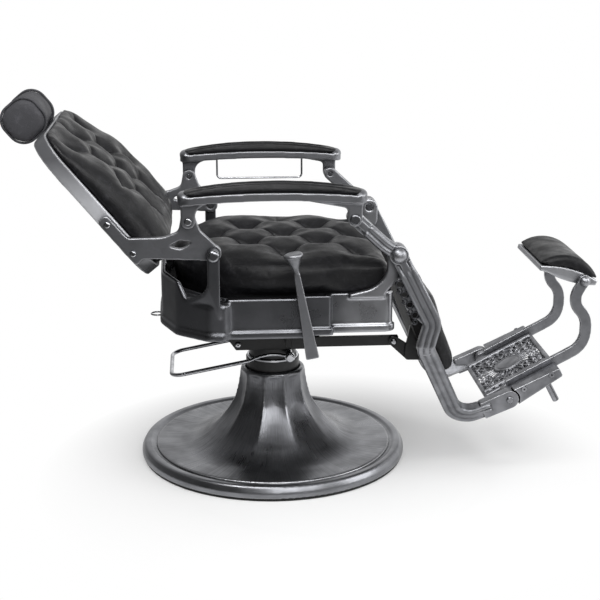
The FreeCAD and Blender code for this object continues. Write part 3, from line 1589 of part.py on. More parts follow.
def foot_plate():
    """Pierced cast plate with a plain round boss in the middle."""
    half = plate_half_width
    body = box(0, -half, -plate_thickness, plate_length, half, 0)
    middle = plate_length / 2
    step_x = (plate_length - 2 * plate_border) / slot_rows
    step_y = (2 * half - 2 * plate_border) / slot_columns
    clear = plate_disc_radius + plate_ring_width + slot_width
    slots = []
    for i in range(slot_rows):
        for j in range(slot_columns):
            x = plate_border + step_x * (i + 0.5)
            y = plate_border - half + step_y * (j + 0.5)
            if math.hypot(x - middle, y) > clear:
                slots.append(slot(x, y, step_y, 1 if (i + j) % 2 else -1))
    body = body.cut(slots)
    boss = post(middle, 0, plate_disc_radius, 0, plate_boss_height)
    ring = post(middle, 0, plate_disc_radius + plate_ring_width, -plate_thickness, plate_ring_height)
    body = lay_on_plate(body.fuse([ring, boss]).removeSplitter())
    ties = [tie_bolt(at, tie_radius + fit, fit) for at in tie_at]
    return body.cut(ties + [right(tie) for tie in ties])


def slot(x, y, pitch, side):
    """One slanting slot of the pierced plate."""
    cutter = box(-pitch * 0.34, -slot_width / 2, -plate_thickness - 1, pitch * 0.34, slot_width / 2, 1)
    upright = [edge for edge in cutter.Edges if abs(edge.tangentAt(edge.FirstParameter).z) > 0.9]
    cutter = cutter.makeFillet(slot_width * 0.45, upright)
    cutter.rotate(Vector(0, 0, 0), Vector(0, 0, 1), 45 * side)
    cutter.translate(Vector(x, y, 0))
    return cutter


def tie_bolt(at, radius, deeper):
    """Shank of one left tie bolt through block and arm into the plate."""
    start = plate_half_width - tie_depth - deeper
    return lay_on_plate(pin(at, -plate_thickness / 2, radius, start, knuckle_outer))


def tie_bolts():
    """Bolts that hold plate, arms and side blocks together."""
    bolts = []
    for at in tie_at:
        bolt = tie_bolt(at, tie_radius, 0)
        head = pin(at, -plate_thickness / 2, tie_radius * 2, knuckle_outer, knuckle_outer + tie_head_height)
        bolt = bolt.fuse(lay_on_plate(head)).removeSplitter()
        bolts += pair(bolt)
    return bolts


def foot_block():
    """Left side block: cheek on the pin inside the knuckle and the block in front of it."""
    run = plate_pin_run
    drop = plate_pin_drop
    front = plate_length
    cheek = [(run, -drop - knuckle_radius, 0), (front, -block_front_height, block_round),
             (front, 0, block_round), (run, 0, 0)]
    body = side_plate(cheek, s_arm_outer, cheek_outer)
    body = body.fuse(pin(run, -drop, knuckle_radius - 2, s_arm_outer, cheek_outer))
    block = [(run, block_lip - block_rear_height, 0), (front, -block_front_height, block_round),
             (front, 0, block_round), (run, block_lip, 0)]
    solid = side_plate(block, cheek_outer, knuckle_outer)
    solid = solid.cut(pin(run, -drop, knuckle_radius + swing_gap, 0, knuckle_outer + 1))
    solid = solid.common(box(run, 0, -200, front + 1, knuckle_outer + 1, 200))
    solid = max(solid.Solids, key=lambda piece: piece.CenterOfMass.x)
    body = lay_on_plate(body.fuse(solid).removeSplitter())
    body = body.cut(pin(knuckle_x, knuckle_z, link_pin_radius + fit, 0, knuckle_outer + 1))
    body = body.cut([tie_bolt(at, tie_radius + fit, fit) for at in tie_at])
    return body.cut(lay_on_plate(foot_peg(fit)))


def foot_peg(room):
    """Peg under a side block, drawn before it is laid in place."""
    top = -block_front_height + peg_socket + room
    return post(peg_at, knuckle_plane, peg_radius + room, -block_front_height - peg_length, top)


def foot_pegs():
    """Round pegs under the side blocks, to flip the footrest by."""
    peg = foot_peg(0)
    low = [edge for edge in peg.Edges if edge.CenterOfMass.z < -block_front_height - peg_length + 1]
    return group(pair(lay_on_plate(peg.makeFillet(peg_radius * 0.4, low))))


def s_path():
    """Corners of an S arm's middle line, in the plate's plane first and then up to the pad's pin."""
    slope = math.radians(plate_slope)
    base_x = knuckle_x - plate_pin_run * math.cos(slope) - plate_pin_drop * math.sin(slope)
    base_z = knuckle_z - plate_pin_run * math.sin(slope) + plate_pin_drop * math.cos(slope)
    start = (base_x + s_arm_start * math.cos(slope), base_z + s_arm_start * math.sin(slope))
    bow_low = (base_x + s_bow_run + s_hub_in * 4, base_z + (s_bow_run + s_hub_in * 4) * math.tan(slope))
    bow_high = (bow_low[0], bow_low[1] + s_bow_rise)
    waist = (bow_high[0] - s_waist_in, bow_high[1] + s_waist_rise)
    hub = (bow_high[0] - s_hub_in, bow_high[1] + s_hub_rise)
    return [start, bow_low, bow_high, waist, hub]


def s_arm():
    """Left curved flat arm from the foot plate to the pad."""
    path = s_path()
    outline = band(path, [0, s_bow_radius, s_bow_radius, s_waist_radius, 0], [s_arm_width] * 5)
    arm = side_plate(outline, plate_half_width, s_arm_outer)
    hub = path[-1]
    arm = arm.fuse(pin(hub[0], hub[1], s_hub_radius, plate_half_width, s_arm_outer))
    arm = arm.cut(pin(hub[0], hub[1], rest_pin_radius + fit, plate_half_width - 1, s_arm_outer + 1))
    return arm.cut([tie_bolt(at, tie_radius + fit, fit) for at in tie_at]).removeSplitter()


def rest_pins():
    """Bolts of the foot pad in the ends of the S arms."""
    hub = s_path()[-1]
    return pair(headed(hub[0], hub[1], rest_pin_radius, rest_pin_radius + 4, link_head_height,
                       plate_half_width - 24, s_arm_outer))


# Foot pad

def rest_place(along, up):
    """Point on the foot pad's side view, along its slope from the pin and up from it."""
    hub = s_path()[-1]
    slope = math.radians(rest_slope)
    return (hub[0] + along * math.cos(slope) + up * math.sin(slope),
            hub[1] - along * math.sin(slope) + up * math.cos(slope))


def rest_solid(low, edge, high, inset, half):
    """Piece of the pad with an arched top, between two ends and of a half width."""
    rear = -rest_rear + inset
    front = rest_front - inset
    middle = (rear + front) / 2
    places = [(rear, low), (front, low), (front, edge), (middle, high), (rear, edge)]
    corners = []
    for along, up in places:
        x, z = rest_place(along, up)
        corners.append(Vector(x, -half, z))
    edges = [Part.LineSegment(corners[0], corners[1]), Part.LineSegment(corners[1], corners[2]),
             Part.Arc(corners[2], corners[3], corners[4]), Part.LineSegment(corners[4], corners[0])]
    face = Part.Face(Part.Wire([edge.toShape() for edge in edges]))
    return face.extrude(Vector(0, half * 2, 0))


def rest_shell():
    """Metal tray of the foot pad with a boss at each end."""
    half = plate_half_width - side_gap / 2
    hub = s_path()[-1]
    body = rest_solid(-rest_shell_low, rest_shell_edge, rest_shell_high, 0, half)
    body = body.cut(rest_solid(-rest_shell_low - 1, rest_shell_edge - rest_wall, rest_shell_high - rest_wall,
                               rest_wall, half - rest_wall))
    boss = pin(hub[0], hub[1], s_hub_radius, half - rest_boss_length, half)
    body = body.fuse(pair(boss))
    return body.cut(pin(hub[0], hub[1], rest_pin_radius + fit, -half - 1, half + 1)).removeSplitter()


def rest_cushion():
    """Leather top of the foot pad, crowned over its tray and turned down at its ends."""
    half = plate_half_width - side_gap
    cushion = rest_solid(-rest_shell_low, rest_shell_edge + gap * 2, rest_shell_high + rest_cushion_height,
                         -rest_wrap, half)
    tray = rest_solid(-rest_shell_low - rest_cushion_height, rest_shell_edge + gap, rest_shell_high + gap,
                      -gap, half + side_gap)
    hub = s_path()[-1]
    cushion = cushion.cut([tray, pin(hub[0], hub[1], s_hub_radius + gap, -half - 1, half + 1)])
    cushion = max(cushion.Solids, key=lambda piece: piece.Volume)
    level = rest_shell_high + rest_cushion_height / 2
    ends = [edge for edge in cushion.Edges if abs(abs(edge.CenterOfMass.y) - half) < 1e-3]
    top = max(ends, key=lambda edge: edge.CenterOfMass.z)
    crown = [edge for edge in ends if abs(edge.CenterOfMass.z - top.CenterOfMass.z) < level / 4]
    return cushion.makeFillet(rest_round, crown)


# Write one file for each piece

def pieces():
    """Every piece by its name."""
    arm = armrest_frame()
    pad = armrest_pad()
    bracket = back_bracket()
    leg = leg_arm()
    block = foot_block()
    curve = s_arm()
    return {
        "stand_casting": stand_casting(),
        "stand_rim": stand_rim(),
        "floor_gasket": floor_gasket(),
        "floor_plate": floor_plate(),
        "swivel_bush": swivel_bush(),
        "thrust_washer": thrust_washer(),
        "pump_cylinder": pump_cylinder(),
        "pump_head": pump_head(),
        "collar_ring": collar_ring(),
        "rocker_shaft": rocker_shaft(),
        "pump_lever": pump_lever(),
        "lever_caps": group(lever_caps()),
        "ram": ram(),
        "ram_piston": ram_piston(),
        "channel": channel(),
        "channel_spacers": channel_spacers(),
        "channel_bolts": group(channel_bolts() + ram_bolts()),
        "seat_bearers": seat_bearers(),
        "seat_frame": seat_frame(),
        "seat_board": seat_board(),
        "seat_cushion": seat_cushion(),
        "frame_pins": group(recline_pins() + leg_pins() + [sleeve_pin()]),
        "strap_ring": strap_ring(),
        "back_rim": back_rim(),
        "back_panel": back_panel(),
        "back_cushion": back_cushion(),
        "back_bracket_left": bracket,
        "back_bracket_right": right(bracket),
        "back_bolts": group(bracket_bolts() + armrest_rear_pins()),
        "head_guide": head_guide(),
        "head_post": head_post(),
        "head_cushion": head_cushion(),
        "armrest_left": arm.cut(rail_sockets()),
        "armrest_right": right(arm),
        "armrest_pad_left": pad,
        "armrest_pad_right": right(pad),
        "towel_rail": towel_rail(),
        "leg_arm_left": leg,
        "leg_arm_right": right(leg),
        "calf_board": calf_board(),
        "calf_cushion": calf_cushion(),
        "calf_spacers": group(calf_bolts()),
        "leg_rest_pins": group(armrest_front_pins() + footrest_pins()),
        "strut_bracket": strut_bracket(),
        "lock_sleeve": lock_sleeve(),
        "lock_strut": lock_strut(),
        "strut_link": strut_link(),
        "strut_bolt": strut_end_bolt(),
        "hand_shaft": hand_shaft(),
        "shaft_collars": group(shaft_collars()),
        "hand_lever": hand_lever(),
        "hand_knob": hand_knob(),
        "foot_plate": foot_plate(),
        "foot_block_left": block,
        "foot_block_right": right(block),
        "foot_pegs": foot_pegs(),
        "s_arms": group(pair(curve)),
        "footrest_bolts": group(tie_bolts() + rest_pins()),
        "rest_shell": rest_shell(),
        "rest_cushion": rest_cushion(),
    }


os.makedirs("parts", exist_ok=True)
for name, shape in pieces().items():
    shape.exportStep(os.path.join("parts", name + ".step"))
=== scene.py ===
"""Barber chair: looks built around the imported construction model.

Everything is in metres in the frame of the construction: +X the way the sitter faces, +Y the sitter's
left, +Z up, with the origin on the floor in the middle of the stand. Sizes in the classes are millimetres.
"""
from __future__ import annotations

import logging
import math
from dataclasses import dataclass, field
from enum import Enum
from typing import Any, Callable, Sequence

import bpy
import numpy as np
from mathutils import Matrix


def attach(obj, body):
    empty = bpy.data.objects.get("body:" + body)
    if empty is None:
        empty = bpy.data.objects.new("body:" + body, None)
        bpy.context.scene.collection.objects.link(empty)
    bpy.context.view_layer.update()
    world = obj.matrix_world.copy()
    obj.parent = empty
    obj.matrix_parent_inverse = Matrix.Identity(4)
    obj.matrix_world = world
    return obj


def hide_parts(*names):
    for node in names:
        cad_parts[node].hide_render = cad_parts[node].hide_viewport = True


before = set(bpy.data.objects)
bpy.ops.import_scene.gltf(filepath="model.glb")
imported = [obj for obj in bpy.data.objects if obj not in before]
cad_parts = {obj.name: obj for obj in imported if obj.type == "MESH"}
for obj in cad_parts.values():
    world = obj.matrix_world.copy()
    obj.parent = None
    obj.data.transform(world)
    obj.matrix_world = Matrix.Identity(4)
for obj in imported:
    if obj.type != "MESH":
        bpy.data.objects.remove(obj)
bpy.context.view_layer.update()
LOG = logging.getLogger("barber_chair")
MM = 0.001
POINT_RADIUS = 1e-3
MERGE_REACH = 0.01
Array = np.ndarray
Inputs = dict[str | int, Any]
Pair = tuple[float, float]
Place = tuple[float, float, float]
Skin = tuple[Array, Array]


class Slot(Enum):
    """Material slots of the record that the pieces made here take."""

    PEWTER = "pewter"
    BRIGHT_STEEL = "bright_steel"
    LEATHER = "leather"


def linear(colour: str) -> tuple[float, float, float, float]:
    """Turns an sRGB hex colour to linear light.

    Args:
        colour: Six hex digits after a hash.

    Returns:
        Red, green, blue and a full alpha.
    """
    values = [int(colour[i:i + 2], 16) / 255 for i in (1, 3, 5)]
    light = [v / 12.92 if v <= 0.04045 else ((v + 0.055) / 1.055) ** 2.4 for v in values]
    return (light[0], light[1], light[2], 1.0)


def add_node(tree: bpy.types.NodeTree, kind: str, inputs: Inputs | None = None,
             **settings: Any) -> bpy.types.Node:
    """Adds a node with its settings, values and links.

    Args:
        tree: Tree that the node goes into.
        kind: Blender's name of the node.
        inputs: Value or output socket for each input, by name or number.
        settings: Properties of the node.

    Returns:
        The new node.
    """
    node = tree.nodes.new(kind)
    for name, value in settings.items():
        setattr(node, name, value)
    for key, value in (inputs or {}).items():
        if isinstance(value, bpy.types.NodeSocket):
            tree.links.new(value, node.inputs[key])
        else:
            node.inputs[key].default_value = value
    return node


def new_material(name: str) -> tuple[bpy.types.Material, bpy.types.NodeTree]:
    """Makes a material with an empty node tree.

    Args:
        name: Name of the real material.

    Returns:
        The material and its tree.
    """
    material = bpy.data.materials.new(name)
    material.use_nodes = True
    material.node_tree.nodes.clear()
    return material, material.node_tree


def lay(tree: bpy.types.NodeTree, tone: Any, value: bpy.types.NodeSocket, span: Pair, share: float,
        colour: str) -> bpy.types.NodeSocket:
    """Lays a colour over a tone where a value passes through a span.

    The colour's share rises evenly from nothing at the start of the span to the given share at its end.

    Args:
        tree: Tree that the nodes go into.
        tone: Colour or output socket below.
        value: Socket that decides the place.
        span: Values at which the colour starts and is full.
        share: Share of the colour where it is full.
        colour: Hex colour that is laid over.

    Returns:
        The mixed colour.
    """
    amount = add_node(tree, "ShaderNodeMapRange", {0: value, 1: span[0], 2: span[1], 4: share}).outputs[0]
    return add_node(tree, "ShaderNodeMix", {0: amount, 6: tone, 7: linear(colour)},
                    data_type="RGBA").outputs[2]


class Axis(Enum):
    """Axes of the chair's frame, by the names of Blender's sockets."""

    FORWARD = "X"
    UP = "Z"


@dataclass(frozen=True)
class Wear:
    """A tone that comes in between two places along an axis, in millimetres: a painted highlight where the
    tone is pale, painted shade where it is dark.
    """

    axis: Axis
    start: float
    end: float
    colour: str
    share: float

    def cover(self, tree: bpy.types.NodeTree, tone: bpy.types.NodeSocket) -> bpy.types.NodeSocket:
        """Lays the tone over another one.

        Args:
            tree: Tree that the nodes go into.
            tone: Colour below.

        Returns:
            The mixed colour.
        """
        place = add_node(tree, "ShaderNodeTexCoord").outputs["Object"]
        along = add_node(tree, "ShaderNodeSeparateXYZ", {0: place}).outputs[self.axis.value]
        return lay(tree, tone, along, (self.start * MM, self.end * MM), self.share, self.colour)


@dataclass(frozen=True)
class CastMetal:
    """Sand-cast aluminium with an antique pewter finish: dark wax in the hollows, rubbed bright on edges.

    Mottle, grain, hollow_reach and brushed are the sizes in millimetres of the wax patches, the sand grain,
    the hollows that hold wax and the marks of the brush. The sand grain is drawn coarser than the real one,
    which is too fine to show.
    """

    name: str
    hollow: str = "#1d1e21"
    face: str = "#909195"
    rubbed: str = "#cdced1"
    roughness: Pair = (0.36, 0.52)
    metallic: float = 1.0
    mottle: float = 34.0
    grain: float = 1.8
    hollow_reach: float = 16.0
    wax: float = 0.4
    brushed: float = 0.0
    brush_share: float = 0.4
    brush_stretch: float = 22.0
    brush_girth: float = 620.0
    edge: Pair = (0.512, 0.56)
    edge_share: float = 0.62
    groove: Pair = (0.482, 0.43)
    groove_share: float = 0.75
    # Painted highlights and painted shade, each laid along an axis over the metal's tone.
    wear: tuple[Wear, ...] = ()

    def brush_marks(self, tree: bpy.types.NodeTree) -> bpy.types.NodeSocket:
        """Noise drawn out up a round piece: fine across its turn and long up its height.

        Args:
            tree: Tree that the nodes go into.

        Returns:
            The grey output.
        """
        place = add_node(tree, "ShaderNodeTexCoord").outputs["Object"]
        parts = add_node(tree, "ShaderNodeSeparateXYZ", {0: place}).outputs
        angle = add_node(tree, "ShaderNodeMath", {0: parts["Y"], 1: parts["X"]},
                         operation="ARCTAN2").outputs[0]
        turn = add_node(tree, "ShaderNodeMapRange", {
            0: angle, 1: -math.pi, 2: math.pi, 4: self.brush_girth / self.brushed}).outputs[0]
        rise = add_node(tree, "ShaderNodeMapRange", {
            0: parts["Z"], 4: 1 / (self.brushed * self.brush_stretch * MM)}).outputs[0]
        vector = add_node(tree, "ShaderNodeCombineXYZ", {0: turn, 1: rise}).outputs[0]
        return add_node(tree, "ShaderNodeTexNoise", {
            "Vector": vector, "Scale": 1.0, "Detail": 3.0}).outputs[0]

    def build(self) -> bpy.types.Material:
        """Makes the material: wax by patches and in hollows, painted highlight and painted shade along an
        axis, bright metal where the curvature stands out.

        Returns:
            The material.
        """
        material, tree = new_material(self.name)
        place = add_node(tree, "ShaderNodeTexCoord").outputs["Object"]
        bend = add_node(tree, "ShaderNodeNewGeometry").outputs["Pointiness"]
        patches = add_node(tree, "ShaderNodeTexNoise", {
            "Vector": place, "Scale": 1 / (self.mottle * MM), "Detail": 2.5, "Roughness": 0.5}).outputs[0]
        openness = add_node(tree, "ShaderNodeAmbientOcclusion", {"Distance": self.hollow_reach * MM},
                            samples=12).outputs["AO"]
        tone = lay(tree, linear(self.face), patches, (0.35, 0.75), self.wax, self.hollow)
        # Painted highlight and painted shade between two places along an axis.
        for wear in self.wear:
            tone = wear.cover(tree, tone)
        tone = lay(tree, tone, openness, (0.85, 0.2), 1.0, self.hollow)
        tone = lay(tree, tone, bend, self.groove, self.groove_share, self.hollow)
        tone = lay(tree, tone, bend, self.edge, self.edge_share, self.rubbed)
        rough = add_node(tree, "ShaderNodeMapRange", {
            0: patches, 1: 0.3, 2: 0.7, 3: self.roughness[0], 4: self.roughness[1]}).outputs[0]
        if self.brushed:
            marks = self.brush_marks(tree)
            tone = lay(tree, tone, marks, (0.45, 0.75), self.brush_share, self.hollow)
            change = add_node(tree, "ShaderNodeMapRange", {0: marks, 1: 0.3, 2: 0.7, 3: -0.06, 4: 0.08})
            rough = add_node(tree, "ShaderNodeMath", {0: rough, 1: change.outputs[0]},
                             operation="ADD").outputs[0]
        grain = add_node(tree, "ShaderNodeTexNoise", {
            "Vector": place, "Scale": 1 / (self.grain * MM), "Detail": 3.0, "Roughness": 0.55}).outputs[0]
        bump = add_node(tree, "ShaderNodeBump", {"Strength": 0.12, "Distance": 0.25 * MM, "Height": grain})
        shader = add_node(tree, "ShaderNodeBsdfPrincipled", {
            "Base Color": tone, "Metallic": self.metallic, "Normal": bump.outputs["Normal"],
            "Roughness": rough})
        add_node(tree, "ShaderNodeOutputMaterial", {"Surface": shader.outputs[0]})
        return material


@dataclass(frozen=True)
class PolishedMetal:
    """Plated or turned metal: smooth, with fine handling marks that break the shine a little.

    Smear, scratch and edge are the sizes in millimetres of the handling marks, the scratches, which are drawn
    coarser than real ones so that they show, and the eased edges.
    """

    name: str
    colour: str = "#c9cacd"
    shade: str = "#9fa0a4"
    roughness: Pair = (0.09, 0.2)
    smear: float = 22.0
    scratch: float = 0.7
    edge: float = 0.7

    def build(self) -> bpy.types.Material:
        """Makes the material.

        Returns:
            The material.
        """
        material, tree = new_material(self.name)
        place = add_node(tree, "ShaderNodeTexCoord").outputs["Object"]
        soft_edge = add_node(tree, "ShaderNodeBevel", {"Radius": self.edge * MM}, samples=4).outputs["Normal"]
        patches = add_node(tree, "ShaderNodeTexNoise", {
            "Vector": place, "Scale": 1 / (self.smear * MM), "Detail": 4.0}).outputs[0]
        scratch = add_node(tree, "ShaderNodeTexNoise", {
            "Vector": place, "Scale": 1 / (self.scratch * MM), "Detail": 2.0}).outputs[0]
        bump = add_node(tree, "ShaderNodeBump", {
            "Strength": 0.04, "Distance": 0.1 * MM, "Height": scratch, "Normal": soft_edge})
        rough = add_node(tree, "ShaderNodeMapRange", {
            0: patches, 1: 0.3, 2: 0.7, 3: self.roughness[0], 4: self.roughness[1]}).outputs[0]
        shader = add_node(tree, "ShaderNodeBsdfPrincipled", {
            "Base Color": lay(tree, linear(self.colour), patches, (0.35, 0.7), 1.0, self.shade),
            "Metallic": 1.0, "Normal": bump.outputs["Normal"], "Roughness": rough})
        add_node(tree, "ShaderNodeOutputMaterial", {"Surface": shader.outputs[0]})
        return material


@dataclass(frozen=True)
class Coating:
    """Paint, rubber or stain: one dark tone with faint patches and a fine skin.

    Skin, skin_depth, patch and edge are sizes in millimetres.
    """

    name: str
    colour: str
    worn: str
    roughness: Pair
    skin: float
    skin_depth: float
    patch: float = 40.0
    edge: float = 1.0
    sheen: float = 0.5

    def build(self) -> bpy.types.Material:
        """Makes the material.

        Returns:
            The material.
        """
        material, tree = new_material(self.name)
        place = add_node(tree, "ShaderNodeTexCoord").outputs["Object"]
        soft_edge = add_node(tree, "ShaderNodeBevel", {"Radius": self.edge * MM}, samples=4).outputs["Normal"]
        patches = add_node(tree, "ShaderNodeTexNoise", {
            "Vector": place, "Scale": 1 / (self.patch * MM), "Detail": 5.0}).outputs[0]
        skin = add_node(tree, "ShaderNodeTexNoise", {
            "Vector": place, "Scale": 1 / (self.skin * MM), "Detail": 2.0}).outputs[0]
        bump = add_node(tree, "ShaderNodeBump", {
            "Strength": 0.25, "Distance": self.skin_depth * MM, "Height": skin, "Normal": soft_edge})
        rough = add_node(tree, "ShaderNodeMapRange", {
            0: patches, 1: 0.3, 2: 0.7, 3: self.roughness[0], 4: self.roughness[1]}).outputs[0]
        shader = add_node(tree, "ShaderNodeBsdfPrincipled", {
            "Base Color": lay(tree, linear(self.colour), patches, (0.4, 0.75), 1.0, self.worn),
            "Normal": bump.outputs["Normal"], "Specular IOR Level": self.sheen, "Roughness": rough})
        add_node(tree, "ShaderNodeOutputMaterial", {"Surface": shader.outputs[0]})
        return material


@dataclass(frozen=True)
class Leather:
    """Aniline-dyed cow hide: pebbled grain, faint creases and a waxed, uneven sheen.

    Pebble, crease and cloud are the sizes in millimetres of the grain, the creases and the patches of wax.
    """

    name: str
    colour: str = "#131315"
    rubbed: str = "#262629"
    pebble: float = 1.7
    crease: float = 26.0
    cloud: float = 38.0
    roughness: Pair = (0.3, 0.56)
    sheen: float = 0.28

    def build(self) -> bpy.types.Material:
        """Makes the material.

        Returns:
            The material.
        """
        material, tree = new_material(self.name)
        place = add_node(tree, "ShaderNodeTexCoord").outputs["Object"]
        pebbles = add_node(tree, "ShaderNodeTexVoronoi", {"Vector": place, "Scale": 1 / (self.pebble * MM)},
                           feature="SMOOTH_F1").outputs["Distance"]
        creases = add_node(tree, "ShaderNodeTexNoise", {
            "Vector": place, "Scale": 1 / (self.crease * MM), "Detail": 8.0, "Roughness": 0.7,
            "Distortion": 1.4}).outputs[0]
        clouds = add_node(tree, "ShaderNodeTexNoise", {
            "Vector": place, "Scale": 1 / (self.cloud * MM), "Detail": 4.0}).outputs[0]
        height = add_node(tree, "ShaderNodeMath", {0: pebbles, 1: creases}, operation="ADD").outputs[0]
        bump = add_node(tree, "ShaderNodeBump", {"Strength": 0.4, "Distance": 0.7 * MM, "Height": height})
        rough = add_node(tree, "ShaderNodeMapRange", {
            0: clouds, 1: 0.3, 2: 0.7, 3: self.roughness[0], 4: self.roughness[1]}).outputs[0]
        shader = add_node(tree, "ShaderNodeBsdfPrincipled", {
            "Base Color": lay(tree, linear(self.colour), creases, (0.52, 0.72), 1.0, self.rubbed),
            "Normal": bump.outputs["Normal"], "Specular IOR Level": self.sheen, "Roughness": rough})
        add_node(tree, "ShaderNodeOutputMaterial", {"Surface": shader.outputs[0]})
        return material


# Waxed grey castings with bright worn edges; the ribbed ones show a dark line between their ribs.
PEWTER = CastMetal("cast_aluminium_antique_pewter")
RIBBED_PEWTER = CastMetal("cast_aluminium_ribbed_pewter", groove=(0.497, 0.462))
# The bell is brushed up its flutes, so its shine is drawn out; its rim is rolled and plainer.
BELL_PEWTER = CastMetal("cast_aluminium_brushed_dark_pewter", hollow="#161719", face="#8b8c90",
                        roughness=(0.26, 0.4), mottle=60.0, wax=0.3, brushed=1.6)
RIM_PEWTER = CastMetal("cast_aluminium_rolled_rim", hollow="#161719", face="#8b8c90", roughness=(0.28, 0.4),
                       mottle=60.0, wax=0.3)
# The seat's frame is painted darker as shade, and has a painted highlight towards its front end.
PEWTER_WITH_PAINTED_LIGHT = CastMetal("cast_aluminium_dark_waxed_pewter", hollow="#161719", face="#77787c",
                        rubbed="#a6a7ab", roughness=(0.26, 0.4), mottle=60.0, wax=0.3, edge_share=0.4,
                        wear=(Wear(Axis.FORWARD, 116.0, 190.0, "#bcbdc1", 0.75),))
# Openwork keeps wax in its small gaps, and the tray is a pale satin metal.
GRILLE_PEWTER = CastMetal("cast_aluminium_openwork", face="#9c9da1", rubbed="#b4b5b9", hollow_reach=9.0)
TRAY = CastMetal("cast_aluminium_satin_tray", hollow="#55565a", face="#b9babe", roughness=(0.36, 0.5),
                 mottle=70.0)
# The band is pale and even, with painted shade darkening it towards both ends.
BAND = CastMetal("satin_anodised_band", hollow="#55565a", face="#c6c7cb", roughness=(0.36, 0.5), mottle=70.0,
                 metallic=0.4, wear=(Wear(Axis.UP, 590.0, 550.0, "#1c1d20", 0.9),
                                     Wear(Axis.UP, 690.0, 790.0, "#3c3d40", 0.85)))
# Chrome mirrors the studio, nickel is softer and greyer, and turned bronze is warm.
CHROME = PolishedMetal("chromed_steel")
NICKEL = PolishedMetal("satin_nickel_caps", colour="#9b9ca0", shade="#737478", roughness=(0.2, 0.32))
SATIN_NICKEL = PolishedMetal("blasted_nickel_balls", colour="#a9aaae", shade="#8e8f93",
                             roughness=(0.38, 0.46))
BRONZE = PolishedMetal("turned_bronze", colour="#b98d4f", shade="#8a6534", roughness=(0.22, 0.36))
# Black paint has a low gloss, rubber none, and stained plywood only a trace.
BLACK_PAINT = Coating("black_painted_steel", "#0f0f10", "#1c1c1e", (0.3, 0.44), 1.4, 0.12)
RUBBER = Coating("moulded_rubber", "#121212", "#1d1d1c", (0.7, 0.85), 0.9, 0.2)
STAINED_PLYWOOD = Coating("black_stained_plywood", "#0c0b0c", "#161515", (0.6, 0.75), 3.0, 0.15, patch=18.0,
                          sheen=0.15)
# Black hide glints on its folds; the headrest's charcoal hide is flatter.
HIDE = Leather("black_leather")
GREY_HIDE = Leather("charcoal_leather", colour="#3d3d40", rubbed="#4a4a4e", roughness=(0.5, 0.66), sheen=0.2)

NODE_FINISHES: dict[Any, str] = {
    PEWTER: ("armrest_left armrest_right leg_arm_left leg_arm_right foot_block_left foot_block_right s_arms "
             "back_bracket_left back_bracket_right hand_lever hand_knob foot_plate"),
    BELL_PEWTER: "stand_casting",
    RIM_PEWTER: "stand_rim",
    PEWTER_WITH_PAINTED_LIGHT: "seat_frame",
    BAND: "back_rim",
    TRAY: "rest_shell",
    BLACK_PAINT: ("floor_plate pump_cylinder pump_head channel strut_bracket lock_sleeve lock_strut "
                  "strut_link head_guide"),
    CHROME: ("collar_ring rocker_shaft pump_lever lever_caps ram ram_piston channel_spacers channel_bolts "
             "strap_ring back_bolts head_post towel_rail calf_spacers strut_bolt hand_shaft shaft_collars"),
    NICKEL: "frame_pins leg_rest_pins foot_pegs footrest_bolts",
    HIDE: ("seat_cushion back_cushion head_cushion armrest_pad_left armrest_pad_right calf_cushion "
           "rest_cushion"),
    STAINED_PLYWOOD: "seat_bearers seat_board back_panel calf_board",
    BRONZE: "swivel_bush thrust_washer",
    RUBBER: "floor_gasket",
}


class Finishes:
    """Makes each finish once and hands it out."""

    def __init__(self) -> None:
        """Starts with no finish made."""
        self.made: dict[Any, bpy.types.Material] = {}

    def get(self, finish: Any) -> bpy.types.Material:
        """Finds the material of a finish, which is made at its first use.

        Args:
            finish: One of the finishes above.

        Returns:
            The material.
        """
        if finish not in self.made:
            self.made[finish] = finish.build()
        return self.made[finish]

    def paint(self, obj: bpy.types.Object, finish: Any) -> None:
        """Gives an object one finish all over."""
        obj.data.materials.clear()
        obj.data.materials.append(self.get(finish))

    def paint_construction(self) -> None:
        """Gives every node of the construction its finish."""
        for finish, names in NODE_FINISHES.items():
            for name in names.split():
                self.paint(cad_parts[name], finish)


class Side(Enum):
    """The sitter's two sides, with the sign of their Y."""

    LEFT = 1
    RIGHT = -1

    @property
    def word(self) -> str:
        """The side's word in the names of pieces."""
        return self.name.lower()


@dataclass(frozen=True)
class Plane:
    """Right-handed local axes of a piece: two along it and one out of it."""

    origin: Place
    a: Place
    b: Place

    @property
    def axes(self) -> Array:
        """The three axes as rows."""
        return np.array([self.a, self.b, np.cross(self.a, self.b)], float)

    def place(self, local: Array) -> Array:
        """Takes local millimetres to the chair's frame in metres."""
        return (np.asarray(local, float) @ self.axes + np.array(self.origin)) * MM

    def local(self, world: Array) -> Array:
        """Takes points of the chair's frame in metres to local millimetres."""
        return (world / MM - np.array(self.origin)) @ self.axes.T


FLAT = Plane((0.0, 0.0, 0.0), (1.0, 0.0, 0.0), (0.0, 1.0, 0.0))


def tilted(origin: Pair, a: Place, b: Place) -> Plane:
    """Plane whose origin lies in the middle of the chair, given by its X and Z."""
    return Plane((origin[0], 0.0, origin[1]), a, b)


def spin(degrees: float) -> Pair:
    """Cosine and sine of an angle in degrees."""
    angle = math.radians(degrees)
    return math.cos(angle), math.sin(angle)


